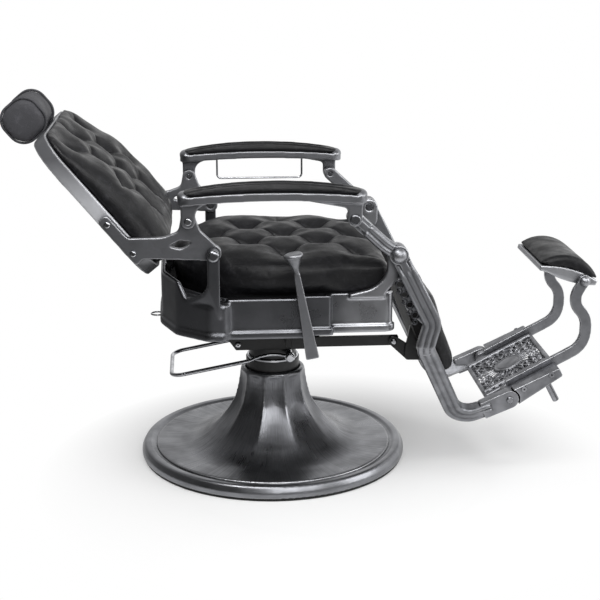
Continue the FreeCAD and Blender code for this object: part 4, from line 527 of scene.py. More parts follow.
def arc(start: Sequence[float], middle: Sequence[float], end: Sequence[float], count: int) -> Array:
    """Points on the circle through three flat points, whose middle is as far from all three.

    Args:
        start: First point.
        middle: Point that the arc passes through.
        end: Last point.
        count: Number of points.

    Returns:
        The points, evenly spaced by angle, both ends included.
    """
    p, q, r = (np.array(v, float) for v in (start, middle, end))
    rows = 2 * np.array([q - p, r - p])
    if abs(np.linalg.det(rows)) < 1e-6:
        return p + (r - p) * np.linspace(0, 1, count)[:, None]
    centre = np.linalg.solve(rows, np.array([q @ q - p @ p, r @ r - p @ p]))
    angles = np.unwrap([math.atan2(*(v - centre)[::-1]) for v in (p, q, r)])
    turn = np.linspace(angles[0], angles[2], count)
    return centre + np.linalg.norm(p - centre) * np.stack([np.cos(turn), np.sin(turn)], 1)


def even(path: Array, count: int, closed: bool = True) -> Array:
    """Resamples a line to points at equal distances along it.

    Args:
        path: Points of the line.
        count: Number of new points.
        closed: Whether the line joins up with its start.

    Returns:
        The new points.
    """
    line = np.vstack([path, path[:1]]) if closed else path
    along = np.concatenate([[0], np.cumsum(np.linalg.norm(np.diff(line, axis=0), axis=1))])
    wanted = np.linspace(0, along[-1], count, endpoint=not closed)
    return np.stack([np.interp(wanted, along, line[:, i]) for i in range(line.shape[1])], 1)


def rounded(corners: Sequence[Place], count: int, closed: bool = True) -> Array:
    """Line through corners with arcs at them.

    Each arc touches both runs at the radius over the tangent of half the corner's angle from the corner.

    Args:
        corners: Two coordinates and a radius for each corner; an open line's ends have none.
        count: Number of points.
        closed: Whether the line joins up with its start.

    Returns:
        The points, evenly spaced.
    """
    points = np.array([c[:2] for c in corners], float)
    runs: list[Array] = []
    for i, (_, _, radius) in enumerate(corners):
        if not closed and i in (0, len(corners) - 1):
            runs.append(points[i:i + 1])
            continue
        before = points[i - 1] - points[i]
        after = points[(i + 1) % len(corners)] - points[i]
        before, after = before / np.linalg.norm(before), after / np.linalg.norm(after)
        half = math.acos(np.clip(before @ after, -1, 1)) / 2
        run = radius / math.tan(half)
        middle = (before + after) / np.linalg.norm(before + after)
        runs.append(arc(points[i] + before * run, points[i] + middle * (radius / math.sin(half) - radius),
                        points[i] + after * run, 12))
    return even(np.vstack(runs), count, closed)


def sideways(line: Array) -> Array:
    """Directions square to a flat line, to the right of the way along it.

    Args:
        line: Points of the line.

    Returns:
        A direction of length 1 for each point.
    """
    step = np.gradient(line, axis=0)
    step /= np.linalg.norm(step, axis=1, keepdims=True)
    return np.column_stack([step[:, 1], -step[:, 0]])


def mesh_object(name: str, points: Array, faces: Array | list) -> bpy.types.Object:
    """Makes a smooth mesh object at the origin.

    Args:
        name: Name of the object and its mesh.
        points: Points in metres.
        faces: Numbers of each face's points.

    Returns:
        The object, in the scene.
    """
    mesh = bpy.data.meshes.new(name)
    mesh.from_pydata(points.tolist(), [], faces if isinstance(faces, list) else faces.tolist())
    mesh.validate()
    mesh.shade_smooth()
    obj = bpy.data.objects.new(name, mesh)
    bpy.context.scene.collection.objects.link(obj)
    return obj


def vertex_data(mesh: bpy.types.Mesh, name: str) -> Array:
    """Reads three numbers for each vertex of a mesh.

    Args:
        mesh: Mesh that is read.
        name: What is read, such as co or normal.

    Returns:
        One row for each vertex.
    """
    flat = np.empty(len(mesh.vertices) * 3, np.float32)
    mesh.vertices.foreach_get(name, flat)
    return flat.reshape(-1, 3).astype(float)


def add_remesh(obj: bpy.types.Object, voxel: float) -> None:
    """Gives an object an even skin of small squares of a size in millimetres."""
    remesh = obj.modifiers.new("even", "REMESH")
    remesh.mode = "VOXEL"
    remesh.voxel_size = voxel * MM


def bake(obj: bpy.types.Object) -> None:
    """Replaces an object's mesh by what its modifiers make of it."""
    depsgraph = bpy.context.evaluated_depsgraph_get()
    made = bpy.data.meshes.new_from_object(obj.evaluated_get(depsgraph))
    obj.modifiers.clear()
    old, obj.data = obj.data, made
    bpy.data.meshes.remove(old)
    made.name = obj.name


def grid_faces(rows: int, columns: int, wrap_rows: bool = False) -> Array:
    """Quads of a grid of points whose columns join up.

    Args:
        rows: Number of rows.
        columns: Number of points in a row.
        wrap_rows: Whether the last row joins up with the first.

    Returns:
        Numbers of each quad's points.
    """
    r = np.arange(rows if wrap_rows else rows - 1)
    r, c = (v.ravel() for v in np.meshgrid(r, np.arange(columns), indexing="ij"))
    nr, nc = (r + 1) % rows, (c + 1) % columns
    return np.stack([r * columns + c, r * columns + nc, nr * columns + nc, nr * columns + c], 1)


def tube(path: Array, radius: float | Array, sides: int, closed: bool, up: Sequence[float]) -> Skin:
    """A round profile carried along a path.

    Args:
        path: Points of the path.
        radius: Radius, or one for each point.
        sides: Points of the profile.
        closed: Whether the path joins up with its start.
        up: Direction that the profile keeps on its upper side.

    Returns:
        Points and quads; open ends are drawn in to a point.
    """
    step = np.roll(path, -1, 0) - np.roll(path, 1, 0)
    if not closed:
        step[0], step[-1] = path[1] - path[0], path[-1] - path[-2]
    step /= np.linalg.norm(step, axis=1, keepdims=True)
    side = np.cross(step, np.array(up, float))
    side /= np.linalg.norm(side, axis=1, keepdims=True)
    top = np.cross(side, step)
    turn = np.linspace(0, 2 * math.pi, sides, endpoint=False)
    size = np.broadcast_to(np.asarray(radius, float), (len(path),)).copy()
    if not closed:
        path = np.vstack([path[:1], path, path[-1:]])
        side, top = (np.vstack([v[:1], v, v[-1:]]) for v in (side, top))
        size = np.concatenate([[POINT_RADIUS], size, [POINT_RADIUS]])
    ring = side[:, None] * np.cos(turn)[None, :, None] + top[:, None] * np.sin(turn)[None, :, None]
    points = path[:, None] + ring * size[:, None, None]
    return points.reshape(-1, 3), grid_faces(len(path), sides, wrap_rows=closed)


def capped(rings: Array) -> Skin:
    """Closed skin over a row of rings.

    Args:
        rings: Points, shaped (rings, points of a ring, 3).

    Returns:
        Points and quads; both end rings are drawn in to their middle.
    """
    first, last = (np.broadcast_to(r.mean(0), r.shape)[None] for r in (rings[0], rings[-1]))
    rows = np.concatenate([first, rings, last])
    return rows.reshape(-1, 3), grid_faces(rows.shape[0], rows.shape[1])


def join(parts: Sequence[Skin]) -> Skin:
    """Puts several meshes of quads into one.

    Args:
        parts: Points and quads of each mesh.

    Returns:
        Points and quads of all of them.
    """
    starts = np.cumsum([0] + [len(p) for p, _ in parts[:-1]])
    return np.vstack([p for p, _ in parts]), np.vstack([f + s for (_, f), s in zip(parts, starts)])


def turned(profile: Sequence[Pair], sides: int) -> Skin:
    """A profile turned about the third axis.

    Args:
        profile: Radius and height of each point; ends at radius 0 close the shape.
        sides: Points round the axis.

    Returns:
        Points and quads.
    """
    line = np.array(profile, float)
    turn = np.linspace(0, 2 * math.pi, sides, endpoint=False)
    size = np.maximum(line[:, 0], POINT_RADIUS)
    points = np.stack([size[:, None] * np.cos(turn), size[:, None] * np.sin(turn),
                       np.repeat(line[:, 1:], sides, 1)], 2)
    return points.reshape(-1, 3), grid_faces(len(line), sides)


def smooth_step(value: Array, low: float, high: float) -> Array:
    """Rises smoothly from 0 at low to 1 at high: three squares of the share less two cubes of it."""
    share = np.clip((value - low) / (high - low), 0, 1)
    return share * share * (3 - 2 * share)


@dataclass
class Piece:
    """A finished object and what it rides on, stands for and is made of."""

    obj: bpy.types.Object
    body: str
    slot: Slot
    nodes: tuple[str, ...] = ()
    fill: float | None = None

    def declare(self) -> None:
        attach(self.obj, self.body)
        if self.nodes:
            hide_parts(*self.nodes)
        LOG.info("%s rides on %s with %d vertices", self.obj.name, self.body, len(self.obj.data.vertices))


@dataclass
class Casting:
    """A cast piece: its construction solid and ornament in one skin, with the soft edges of sand casting.

    Voxel is the size of the skin's squares in millimetres, and rounds is how often each point is averaged
    with its neighbours. Ornament is in millimetres, and bend moves the solid's points, also in millimetres.
    """

    name: str
    body: str
    finish: CastMetal
    nodes: tuple[str, ...] = ()
    voxel: float = 2.0
    rounds: int = 6
    ornament: list[Skin] = field(default_factory=list)
    from_solids: bool = True
    bend: Callable[[Array], Array] | None = None

    def solid(self, node: str) -> Skin:
        """Reads the construction solid of a node.

        Args:
            node: Name of the node.

        Returns:
            Points in metres, bent where asked, and triangles.
        """
        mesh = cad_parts[node].data
        points = vertex_data(mesh, "co")
        if self.bend is not None:
            points = self.bend(points / MM) * MM
        corners = np.empty(len(mesh.loops), np.int32)
        mesh.loops.foreach_get("vertex_index", corners)
        return points, corners.reshape(-1, 3)

    def build(self, finishes: Finishes) -> None:
        """Merges the parts, remeshes them evenly and averages each point with its neighbours.

        Args:
            finishes: Where the finish comes from.
        """
        parts = [self.solid(n) for n in self.nodes if self.from_solids]
        parts += [(points * MM, faces) for points, faces in self.ornament]
        starts = np.cumsum([0] + [len(points) for points, _ in parts[:-1]])
        faces = [face for (_, more), start in zip(parts, starts) for face in (more + start).tolist()]
        obj = mesh_object(self.name, np.vstack([points for points, _ in parts]), faces)
        obj.modifiers.new("merge", "WELD").merge_threshold = MERGE_REACH * MM
        add_remesh(obj, self.voxel)
        soften = obj.modifiers.new("soften", "SMOOTH")
        soften.factor = 0.5
        soften.iterations = self.rounds
        bake(obj)
        obj.data.shade_smooth()
        finishes.paint(obj, self.finish)
        Piece(obj, self.body, Slot.PEWTER, self.nodes).declare()


@dataclass(frozen=True)
class Tufting:
    """Buttons on a diamond lattice, with pleats along the diamonds and out to the edge."""

    middle: Pair
    half_pitch: Pair
    half_count: tuple[int, int]
    depth: float = 24.0
    dip: float = 34.0
    pleat_depth: float = 12.0
    pleat_width: float = 7.0
    run_out: float = 74.0

    def buttons(self, inside: Callable[[Array], Array]) -> Array:
        """Places of the buttons: steps of half the pitch, with both counts even or both odd.

        Args:
            inside: Tells which places may have a button.

        Returns:
            Places of the buttons.
        """
        counts = (np.arange(-c, c + 1) for c in self.half_count)
        i, j = (v.ravel() for v in np.meshgrid(*counts, indexing="ij"))
        even_sum = (i + j) % 2 == 0
        places = np.stack([i, j], 1)[even_sum] * np.array(self.half_pitch) + np.array(self.middle)
        return places[inside(places)]

    def pleats(self, buttons: Array) -> tuple[Array, Array, Array]:
        """Starts, ends and end depth of the pleats.

        Args:
            buttons: Places of the buttons.

        Returns:
            Starts and ends, and for each the share of depth left at its end.
        """
        starts, ends, shares = [], [], []
        steps = [np.array(self.half_pitch) * s for s in ((1, 1), (1, -1), (-1, 1), (-1, -1))]
        for button in buttons:
            missing = []
            for k, step in enumerate(steps):
                gap = np.linalg.norm(buttons - button - step, axis=1).min()
                if gap > 1.0:
                    missing.append(step / np.linalg.norm(step))
                elif k < 2:
                    starts.append(button)
                    ends.append(button + step)
                    shares.append(1.0)
            if missing:
                way = np.sum(missing, 0)
                ways = [way / np.linalg.norm(way)] if np.linalg.norm(way) > 0.3 else missing
                for out in ways:
                    starts.append(button)
                    ends.append(button + out * self.run_out)
                    shares.append(0.0)
        return np.array(starts), np.array(ends), np.array(shares)

    def dips(self, places: Array, buttons: Array) -> Array:
        """Depth of the broad hollows round the buttons: a bell of the distance to the nearest one.

        Args:
            places: Places on the cushion.
            buttons: Places of the buttons.

        Returns:
            Depth at each place.
        """
        nearest = np.full(len(places), 1e9)
        for button in buttons:
            nearest = np.minimum(nearest, np.linalg.norm(places - button, axis=1))
        return self.depth * np.exp(-(nearest / self.dip) ** 1.35)

    def folds(self, places: Array, buttons: Array) -> Array:
        """Depth of the pleats: a sharp valley over the distance to each line, shallower half way along.

        Args:
            places: Places on the cushion.
            buttons: Places of the buttons.

        Returns:
            Depth at each place.
        """
        deepest = np.zeros(len(places))
        for start, end, share in zip(*self.pleats(buttons)):
            run = end - start
            along = np.clip((places - start) @ run / (run @ run), 0, 1)
            away = np.linalg.norm(places - start - along[:, None] * run, axis=1)
            level = 1 - 0.4 * np.sin(math.pi * along) if share else (1 - along) ** 0.7
            deepest = np.maximum(deepest, level * np.exp(-away / self.pleat_width))
        return self.pleat_depth * deepest


@dataclass(frozen=True)
class HideCloth:
    """How hide behaves as cloth while it is stuffed, and the share of a tufted cushion that is held."""

    frames: int = 20
    quality: int = 4
    mass: float = 0.25
    stretch: float = 12.0
    shear: float = 6.0
    fold: float = 0.6
    held_share: float = 0.15


SLACK_HIDE = HideCloth()
CREASE_SIZES = (90.0, 55.0, 34.0)
CREASES_OF_A_SIZE = 3
BUTTON_PROFILE = ((0, -6), (10.5, -6), (11.5, -3), (11, 0), (9, 2), (5, 3.2), (0, 3.6))


@dataclass
class Cushion:
    """A stuffed leather piece: stacked outlines, inflated as cloth, then tufted and creased.

    Each level is an outline and its height, voxel is the size of the skin's squares, cap is the furthest that
    stuffing moves a point, and wrinkle is the height of the creases, all in millimetres.
    """

    name: str
    node: str
    body: str
    plane: Plane
    levels: list[tuple[Array, float]]
    voxel: float = 5.5
    cap: float = 7.0
    pressure: float = 4.0
    fill: float = 0.75
    tufting: Tufting | None = None
    tuft_margin: float = 58.0
    lift: Callable[[Array], Array] | None = None
    wrinkle: float = 0.8
    seed: int = 1
    finish_with: Leather = HIDE
    buttons: Array = field(default_factory=lambda: np.zeros((0, 2)))
    obj: bpy.types.Object | None = None

    def inside(self, places: Array) -> Array:
        """Tells which places lie inside the widest outline by the tufting's margin.

        A place is inside where a line from it to one side crosses the outline an odd number of times.

        Args:
            places: Places on the cushion.

        Returns:
            True for each place inside.
        """
        outline = max((o for o, _ in self.levels), key=lambda o: np.ptp(o, 0).prod())
        closed = np.vstack([outline, outline[:1]])
        nxt, cur = closed[1:], closed[:-1]
        p = places[:, None]
        crosses = (cur[:, 1] > p[..., 1]) != (nxt[:, 1] > p[..., 1])
        slope = (nxt[:, 0] - cur[:, 0]) / np.where(nxt[:, 1] == cur[:, 1], 1e-9, nxt[:, 1] - cur[:, 1])
        hit = crosses & (p[..., 0] < cur[:, 0] + slope * (p[..., 1] - cur[:, 1]))
        away = np.linalg.norm(p - cur[None], axis=2).min(1)
        return (hit.sum(1) % 2 == 1) & (away > self.tuft_margin)

    def shape(self) -> None:
        """Stacks the outlines into a closed skin and remeshes it evenly."""
        rings = np.array([np.column_stack([o, np.full(len(o), h)]) for o, h in self.levels])
        rows, count = rings.shape[:2]
        if self.lift is not None:
            rings[..., 2] += self.lift(rings.reshape(-1, 3)).reshape(rows, count)
        caps = np.array([rings[0].mean(0), rings[-1].mean(0)])
        points = self.plane.place(np.vstack([rings.reshape(-1, 3), caps]))
        low, high = rows * count, rows * count + 1
        ring = np.arange(count)
        nxt = (ring + 1) % count
        faces = grid_faces(rows, count).tolist()
        faces += np.stack([nxt, ring, np.full(count, low)], 1).tolist()
        last = (rows - 1) * count
        faces += np.stack([ring + last, nxt + last, np.full(count, high)], 1).tolist()
        self.obj = mesh_object(self.name, points, faces)
        add_remesh(self.obj, self.voxel)
        bake(self.obj)
        if self.tufting is not None:
            self.buttons = self.tufting.buttons(self.inside)
            self.sink(lambda places: self.tufting.dips(places, self.buttons))

    def points(self) -> Array:
        """The mesh's points in metres."""
        return vertex_data(self.obj.data, "co")

    def normals(self) -> Array:
        """The mesh's normals in local axes."""
        return vertex_data(self.obj.data, "normal") @ self.plane.axes.T

    def set_points(self, points: Array) -> None:
        """Writes new points in metres to the mesh."""
        self.obj.data.vertices.foreach_set("co", points.astype(np.float32).ravel())
        self.obj.data.update()

    def sink(self, depth_of: Callable[[Array], Array]) -> None:
        """Presses the upper side down by a depth that depends on the place.

        Args:
            depth_of: Gives the depth in millimetres at each place.
        """
        local = self.plane.local(self.points())
        facing = smooth_step(self.normals()[:, 2], 0.1, 0.55)
        local[:, 2] -= depth_of(local[:, :2]) * facing
        self.set_points(self.plane.place(local))

    def add_cloth(self) -> None:
        """Sets the skin up as cloth under pressure, held at its base and its buttons."""
        local = self.plane.local(self.points())
        low, high = self.levels[0][1], self.levels[-1][1]
        held = np.zeros(len(local), bool)
        if self.tufting is not None:
            held = local[:, 2] < low + SLACK_HIDE.held_share * (high - low)
        upper = self.normals()[:, 2] > 0.2
        for button in self.buttons:
            held |= upper & (np.linalg.norm(local[:, :2] - button, axis=1) < 2 * self.voxel)
        group = self.obj.vertex_groups.new(name="held")
        group.add(np.flatnonzero(held).tolist(), 1.0, "REPLACE")
        cloth = self.obj.modifiers.new("stuffing", "CLOTH")
        settings = cloth.settings
        settings.quality = SLACK_HIDE.quality
        settings.mass = SLACK_HIDE.mass
        settings.tension_stiffness = settings.compression_stiffness = SLACK_HIDE.stretch
        settings.shear_stiffness = SLACK_HIDE.shear
        settings.bending_stiffness = SLACK_HIDE.fold
        settings.use_pressure = True
        settings.uniform_pressure_force = self.pressure
        settings.vertex_group_mass = group.name
        settings.effector_weights.gravity = 0.0
        cloth.collision_settings.use_collision = False
        cloth.point_cache.frame_start, cloth.point_cache.frame_end = 1, SLACK_HIDE.frames

    def settle(self) -> None:
        """Takes the inflated shape, with each point's move capped."""
        before = self.points()
        depsgraph = bpy.context.evaluated_depsgraph_get()
        swollen = self.obj.evaluated_get(depsgraph)
        move = vertex_data(swollen.to_mesh(), "co") - before
        swollen.to_mesh_clear()
        far = np.linalg.norm(move, axis=1, keepdims=True)
        self.obj.modifiers.clear()
        self.obj.vertex_groups.clear()
        self.set_points(before + move * np.minimum(1, self.cap * MM / np.maximum(far, 1e-9)))

    def finish(self, finishes: Finishes) -> None:
        """Subdivides the skin, sews the pleats in and dresses it.

        Args:
            finishes: Where the finish comes from.
        """
        smoother = self.obj.modifiers.new("finer", "SUBSURF")
        smoother.levels = smoother.render_levels = 1
        bake(self.obj)
        if self.tufting is not None:
            self.sink(lambda places: self.tufting.folds(places, self.buttons))
        self.crumple()
        self.obj.data.shade_smooth()
        finishes.paint(self.obj, self.finish_with)
        Piece(self.obj, self.body, Slot.LEATHER, (self.node,), self.fill).declare()
        if len(self.buttons):
            self.add_buttons(finishes)

    def crumple(self) -> None:
        """Moves the skin along its normals by a sum of slanting sine waves, as slack hide does."""
        local = self.plane.local(self.points())
        chance = np.random.default_rng(self.seed)
        waves = np.zeros(len(local))
        for size in CREASE_SIZES:
            for _ in range(CREASES_OF_A_SIZE):
                way = chance.normal(size=3)
                way *= 2 * math.pi / size / np.linalg.norm(way)
                waves += np.sin(local @ way + chance.uniform(0, 2 * math.pi)) * size / 180.0
        shift = self.normals() * (self.wrinkle * waves / 2)[:, None]
        self.set_points(self.plane.place(local + shift))

    def add_buttons(self, finishes: Finishes) -> None:
        """Covers each tuft's middle with a leather-covered button, a low dome with a soft rim.

        Args:
            finishes: Where the finish comes from.
        """
        local = self.plane.local(self.points())
        upper = local[self.normals()[:, 2] > 0.3]
        dome, faces = turned(BUTTON_PROFILE, 16)
        parts = []
        for button in self.buttons:
            near = np.linalg.norm(upper[:, :2] - button, axis=1) < 9.0
            depth = upper[near, 2].mean() if near.any() else upper[:, 2].max()
            parts.append((self.plane.place(dome + np.array([*button, depth + 1.0])), faces))
        obj = mesh_object(self.name + "_buttons", *join(parts))
        finishes.paint(obj, HIDE)
        Piece(obj, self.body, Slot.LEATHER).declare()


BACK_COS, BACK_SIN = spin(50.5)
BACK_PLANE_DEPTH = 152.0
BACK_PIVOT = (-146.0, 580.0)
BACK_ORIGIN = (BACK_PIVOT[0] - BACK_PLANE_DEPTH * BACK_SIN, BACK_PIVOT[1] - BACK_PLANE_DEPTH * BACK_COS)
BACK_PLANE = tilted(BACK_ORIGIN, (0, 1, 0), (-BACK_COS, 0, BACK_SIN))
LEG_PIVOT = (270.0, 571.0)
FOOT_HUB = (745.75, 459.68)


def crown(steps: int) -> Array:
    """Angles that round a cushion over from its side to its top."""
    return np.linspace(0, math.pi / 2, steps)


@dataclass
class SeatUpholstery:
    """The seat cushion: rounded rear, swelling sides, straight front, diamond tufts."""

    rear: float = 236.0
    side: float = 237.0
    front: float = 255.0
    side_rear: float = -118.0
    side_front: float = 150.0
    corner: float = 24.0
    base: float = 456.3
    skirt_top: float = 474.0
    shoulder: float = 519.0
    top: float = 571.0
    bulge: float = 6.0
    swell: float = 28.0
    crown_width: float = 104.0
    outline_points: int = 240

    def outline(self, grow: float, swell: float) -> Array:
        """Plan of the cushion: an arc behind, an arc on each side and rounded corners in front.

        Args:
            grow: Millimetres that it grows by on all sides.
            swell: Millimetres that each side swells by in its middle.

        Returns:
            The closed outline.
        """
        side = self.side + min(grow, 2.0)
        front = self.front + grow
        corner = max(self.corner + grow / 2, 12.0)
        cut = corner * (1 - math.sqrt(0.5))
        middle = (self.side_front + self.side_rear) / 2
        half = [arc((self.side_rear, side), (middle, side + swell), (self.side_front, side), 40)[::-1],
                np.array([[self.side_front, side], [front - corner, side]])]
        turn = arc((front - corner, side), (front - cut, side - cut), (front, side - corner), 12)
        flip = np.array([1.0, -1.0])
        bow = arc((self.side_rear, -side), (-self.rear - grow, 0), (self.side_rear, side), 60)
        left = np.vstack([half[0][::-1], half[1], turn])
        path = np.vstack([bow[:-1], left, (left * flip)[::-1][:-1]])
        return even(path, self.outline_points)[::-1]

    def cushion(self) -> Cushion:
        """The cushion before it is inflated.

        Returns:
            The cushion, with a quarter circle over to its top.
        """
        levels = [(self.outline(-3, 0), self.base), (self.outline(-1, 0), self.skirt_top),
                  (self.outline(self.bulge * 0.8, self.swell * 0.85), self.skirt_top + 20)]
        for angle in crown(7):
            levels.append((self.outline(self.bulge - self.crown_width * (1 - math.cos(angle)),
                                        self.swell * math.cos(angle)),
                           self.shoulder + (self.top - self.shoulder) * math.sin(angle)))
        pattern = Tufting((24.0, 0.0), (84.0, 84.0), (2, 2), dip=40.0, run_out=64.0)
        return Cushion("seat_leather", "seat_cushion", "seat", FLAT, levels, tufting=pattern,
                       tuft_margin=60.0, wrinkle=1.5, seed=3)


@dataclass
class BackUpholstery:
    """The back cushion in its band and the leather cover behind it."""

    half_width: float = 244.0
    low: float = 62.0
    high: float = 417.0
    base: float = 28.4
    band_front: float = 34.0
    shoulder: float = 52.0
    top: float = 103.0
    crown_width: float = 84.0
    corner: float = 66.0
    overhang: float = 13.5
    top_drop: float = 0.62
    top_run: float = 190.0
    bottom_drop: float = 0.06
    bottom_run: float = 150.0

    def outline(self, grow: float) -> Array:
        """Rounded outline, across and up the back.

        Args:
            grow: Millimetres that it grows by on all sides.

        Returns:
            The closed outline.
        """
        half = self.half_width + grow
        corner = max(self.corner + grow * 0.6, 14.0)
        return rounded([(-half, self.low - grow, corner * 0.75), (half, self.low - grow, corner * 0.75),
                        (half, self.high + grow, corner), (-half, self.high + grow, corner)], 240)

    def cushion(self) -> Cushion:
        """The front cushion before it is inflated.

        Returns:
            The cushion, with a quarter circle over to its top.
        """
        levels = [(self.outline(-2), self.base), (self.outline(0), self.band_front - 0.5),
                  (self.outline(self.overhang * 0.9), self.band_front + 2.5)]
        for angle in crown(7):
            levels.append((self.outline(self.overhang - self.crown_width * (1 - math.cos(angle))),
                           self.shoulder + (self.top - self.shoulder) * math.sin(angle)))
        pattern = Tufting((0.0, 236.0), (80.0, 68.0), (2, 2), run_out=64.0)
        return Cushion("back_leather", "back_cushion", "back", BACK_PLANE, levels, tufting=pattern,
                       tuft_margin=54.0, lift=self.taper, wrinkle=1.9, seed=5)

    def taper(self, local: Array) -> Array:
        """Drop of the stuffing towards the headrest and the seat: a share of its height over the band.

        Args:
            local: Points in the back's own axes.

        Returns:
            Change of height of each point.
        """
        share = (self.top_drop * smooth_step(local[:, 1], self.high - self.top_run, self.high)
                 + self.bottom_drop * smooth_step(-local[:, 1], -self.low - self.bottom_run, -self.low))
        return -share * np.maximum(local[:, 2] - self.band_front, 0.0)

    def cover(self) -> Cushion:
        """The padded cover behind, over the board and the headrest's guide.

        Returns:
            The cover, before it is inflated.
        """
        plane = tilted(BACK_ORIGIN, (0, -1, 0), (-BACK_COS, 0, BACK_SIN))
        levels = [(self.outline(0), -28.0), (self.outline(0), -8.0), (self.outline(-5), -1.0),
                  (self.outline(-22), 4.0), (self.outline(-60), 7.0)]
        return Cushion("back_cover", "back_panel", "back", plane, levels, cap=4.0, pressure=2.0, fill=0.4,
                       seed=8)


@dataclass
class HeadUpholstery:
    """The headrest: a rounded block wrapped in leather, with a piped panel at each end."""

    middle: Pair = (481.0, -3.0)
    half: float = 46.0
    corner: float = 36.0
    length: float = 91.0
    end_round: float = 15.0
    piping: float = 3.0

    def section(self, grow: float) -> Array:
        """Rounded square section, up and forward.

        Args:
            grow: Millimetres that it grows by on all sides.

        Returns:
            The closed section.
        """
        half = self.half + grow
        a, b = self.middle
        corner = max(self.corner + grow * 0.7, 8.0)
        return rounded([(a - half, b - half, corner), (a + half, b - half, corner),
                        (a + half, b + half, corner), (a - half, b + half, corner)], 120)

    @property
    def plane(self) -> Plane:
        """Plane whose third axis is the headrest's length."""
        return tilted(BACK_ORIGIN, (-BACK_COS, 0, BACK_SIN), (BACK_SIN, 0, BACK_COS))

    def cushion(self) -> Cushion:
        """The block before it is inflated.

        Returns:
            The block, with a quarter circle round both ends.
        """
        ends = [(self.section(-self.end_round * (1 - math.sin(t)) - 1),
                 self.length - self.end_round * (1 - math.cos(t))) for t in np.linspace(0, math.pi / 2, 5)]
        levels = [(o, -h) for o, h in ends] + ends[::-1]
        return Cushion("headrest_leather", "head_cushion", "headrest", self.plane, levels, voxel=4.0, cap=3.5,
                       fill=0.8, wrinkle=0.6, finish_with=GREY_HIDE, seed=11)

    def dress(self, finishes: Finishes) -> None:
        """Adds the piping round both end panels.

        Args:
            finishes: Where the finish comes from.
        """
        parts = []
        for side in (-1, 1):
            line = self.section(1.2)
            path = np.column_stack([line, np.full(len(line), side * (self.length - self.end_round + 2))])
            points, faces = tube(path, self.piping, 8, True, (0, 0, 1))
            parts.append((self.plane.place(points), faces))
        obj = mesh_object("headrest_piping", *join(parts))
        finishes.paint(obj, GREY_HIDE)
        Piece(obj, "headrest", Slot.LEATHER).declare()


@dataclass
class ArmrestUpholstery:
    """The slim pads on the armrests, arched along their length."""

    centre: float = 280.0
    half_width: float = 27.0
    rear: float = -217.0
    front: float = 191.0
    deck: float = 716.0
    rise: float = 5.0
    thickness: float = 18.5
    end_round: float = 23.0
    middle: float = -13.0
    half_length: float = 209.0
    thinning: float = 0.6
    nose: Place = (17.0, 31.0, 12.5)

    def arch(self, local: Array) -> Array:
        """Height of the armrest's top face, less the pad's thinning to its ends.

        Args:
            local: Points of the pad before it is lifted.

        Returns:
            Lift of each point.
        """
        share = np.abs(local[:, 0] - self.middle) / self.half_length
        return self.top_at(local[:, 0]) - local[:, 2] * self.thinning * share ** 2.4

    def top_at(self, x: Any) -> Any:
        """Height of the armrest's top face at a place along it, a parabola."""
        return self.deck + self.rise - 2 * self.rise * ((x - self.middle) / self.half_length) ** 2

    def outline(self, side: Side, grow: float) -> Array:
        """Plan of a pad.

        Args:
            side: Side of the chair.
            grow: Millimetres that it grows by on all sides.

        Returns:
            The closed outline.
        """
        y = side.value * self.centre
        half = self.half_width + grow
        corner = max(min(self.end_round + grow, half - 0.5), 3.0)
        return rounded([(self.rear - grow, y - half, corner), (self.front + grow, y - half, corner),
                        (self.front + grow, y + half, corner), (self.rear - grow, y + half, corner)], 200)

    def cushion(self, side: Side) -> Cushion:
        """One pad before it is inflated.

        Args:
            side: Side of the chair.

        Returns:
            The pad, with a quarter circle over to its top.
        """
        levels = [(self.outline(side, -1.5), 0.6), (self.outline(side, 0), 4.0)]
        for angle in crown(5):
            levels.append((self.outline(side, -15 * (1 - math.cos(angle))),
                           6.0 + (self.thickness - 6.0) * math.sin(angle)))
        word = side.word
        return Cushion(f"armrest_leather_{word}", f"armrest_pad_{word}", f"{word}_armrest", FLAT, levels,
                       voxel=4.0, cap=2.0, pressure=2.0, lift=self.arch, wrinkle=0.3, fill=0.7,
                       seed=13 + side.value)

    def arm(self, side: Side) -> Casting:
        """An arm with a cast nose on both ends, an ellipsoid sunk into the end.

        Args:
            side: Side of the chair.

        Returns:
            The casting.
        """
        turn = np.linspace(0, math.pi, 13)
        ball, faces = turned([(math.sin(t), -math.cos(t)) for t in turn], 28)
        parts = []
        for way in (-1.0, 1.0):
            x = self.middle + way * (self.half_length - self.nose[0] + 1.5)
            place = np.array([x, side.value * self.centre, self.top_at(x) - 2.0])
            parts.append((ball * np.array(self.nose) + place, faces))
        word = side.word
        return Casting(f"cast_armrest_{word}", f"{word}_armrest", PEWTER, (f"armrest_{word}",),
                       ornament=parts)


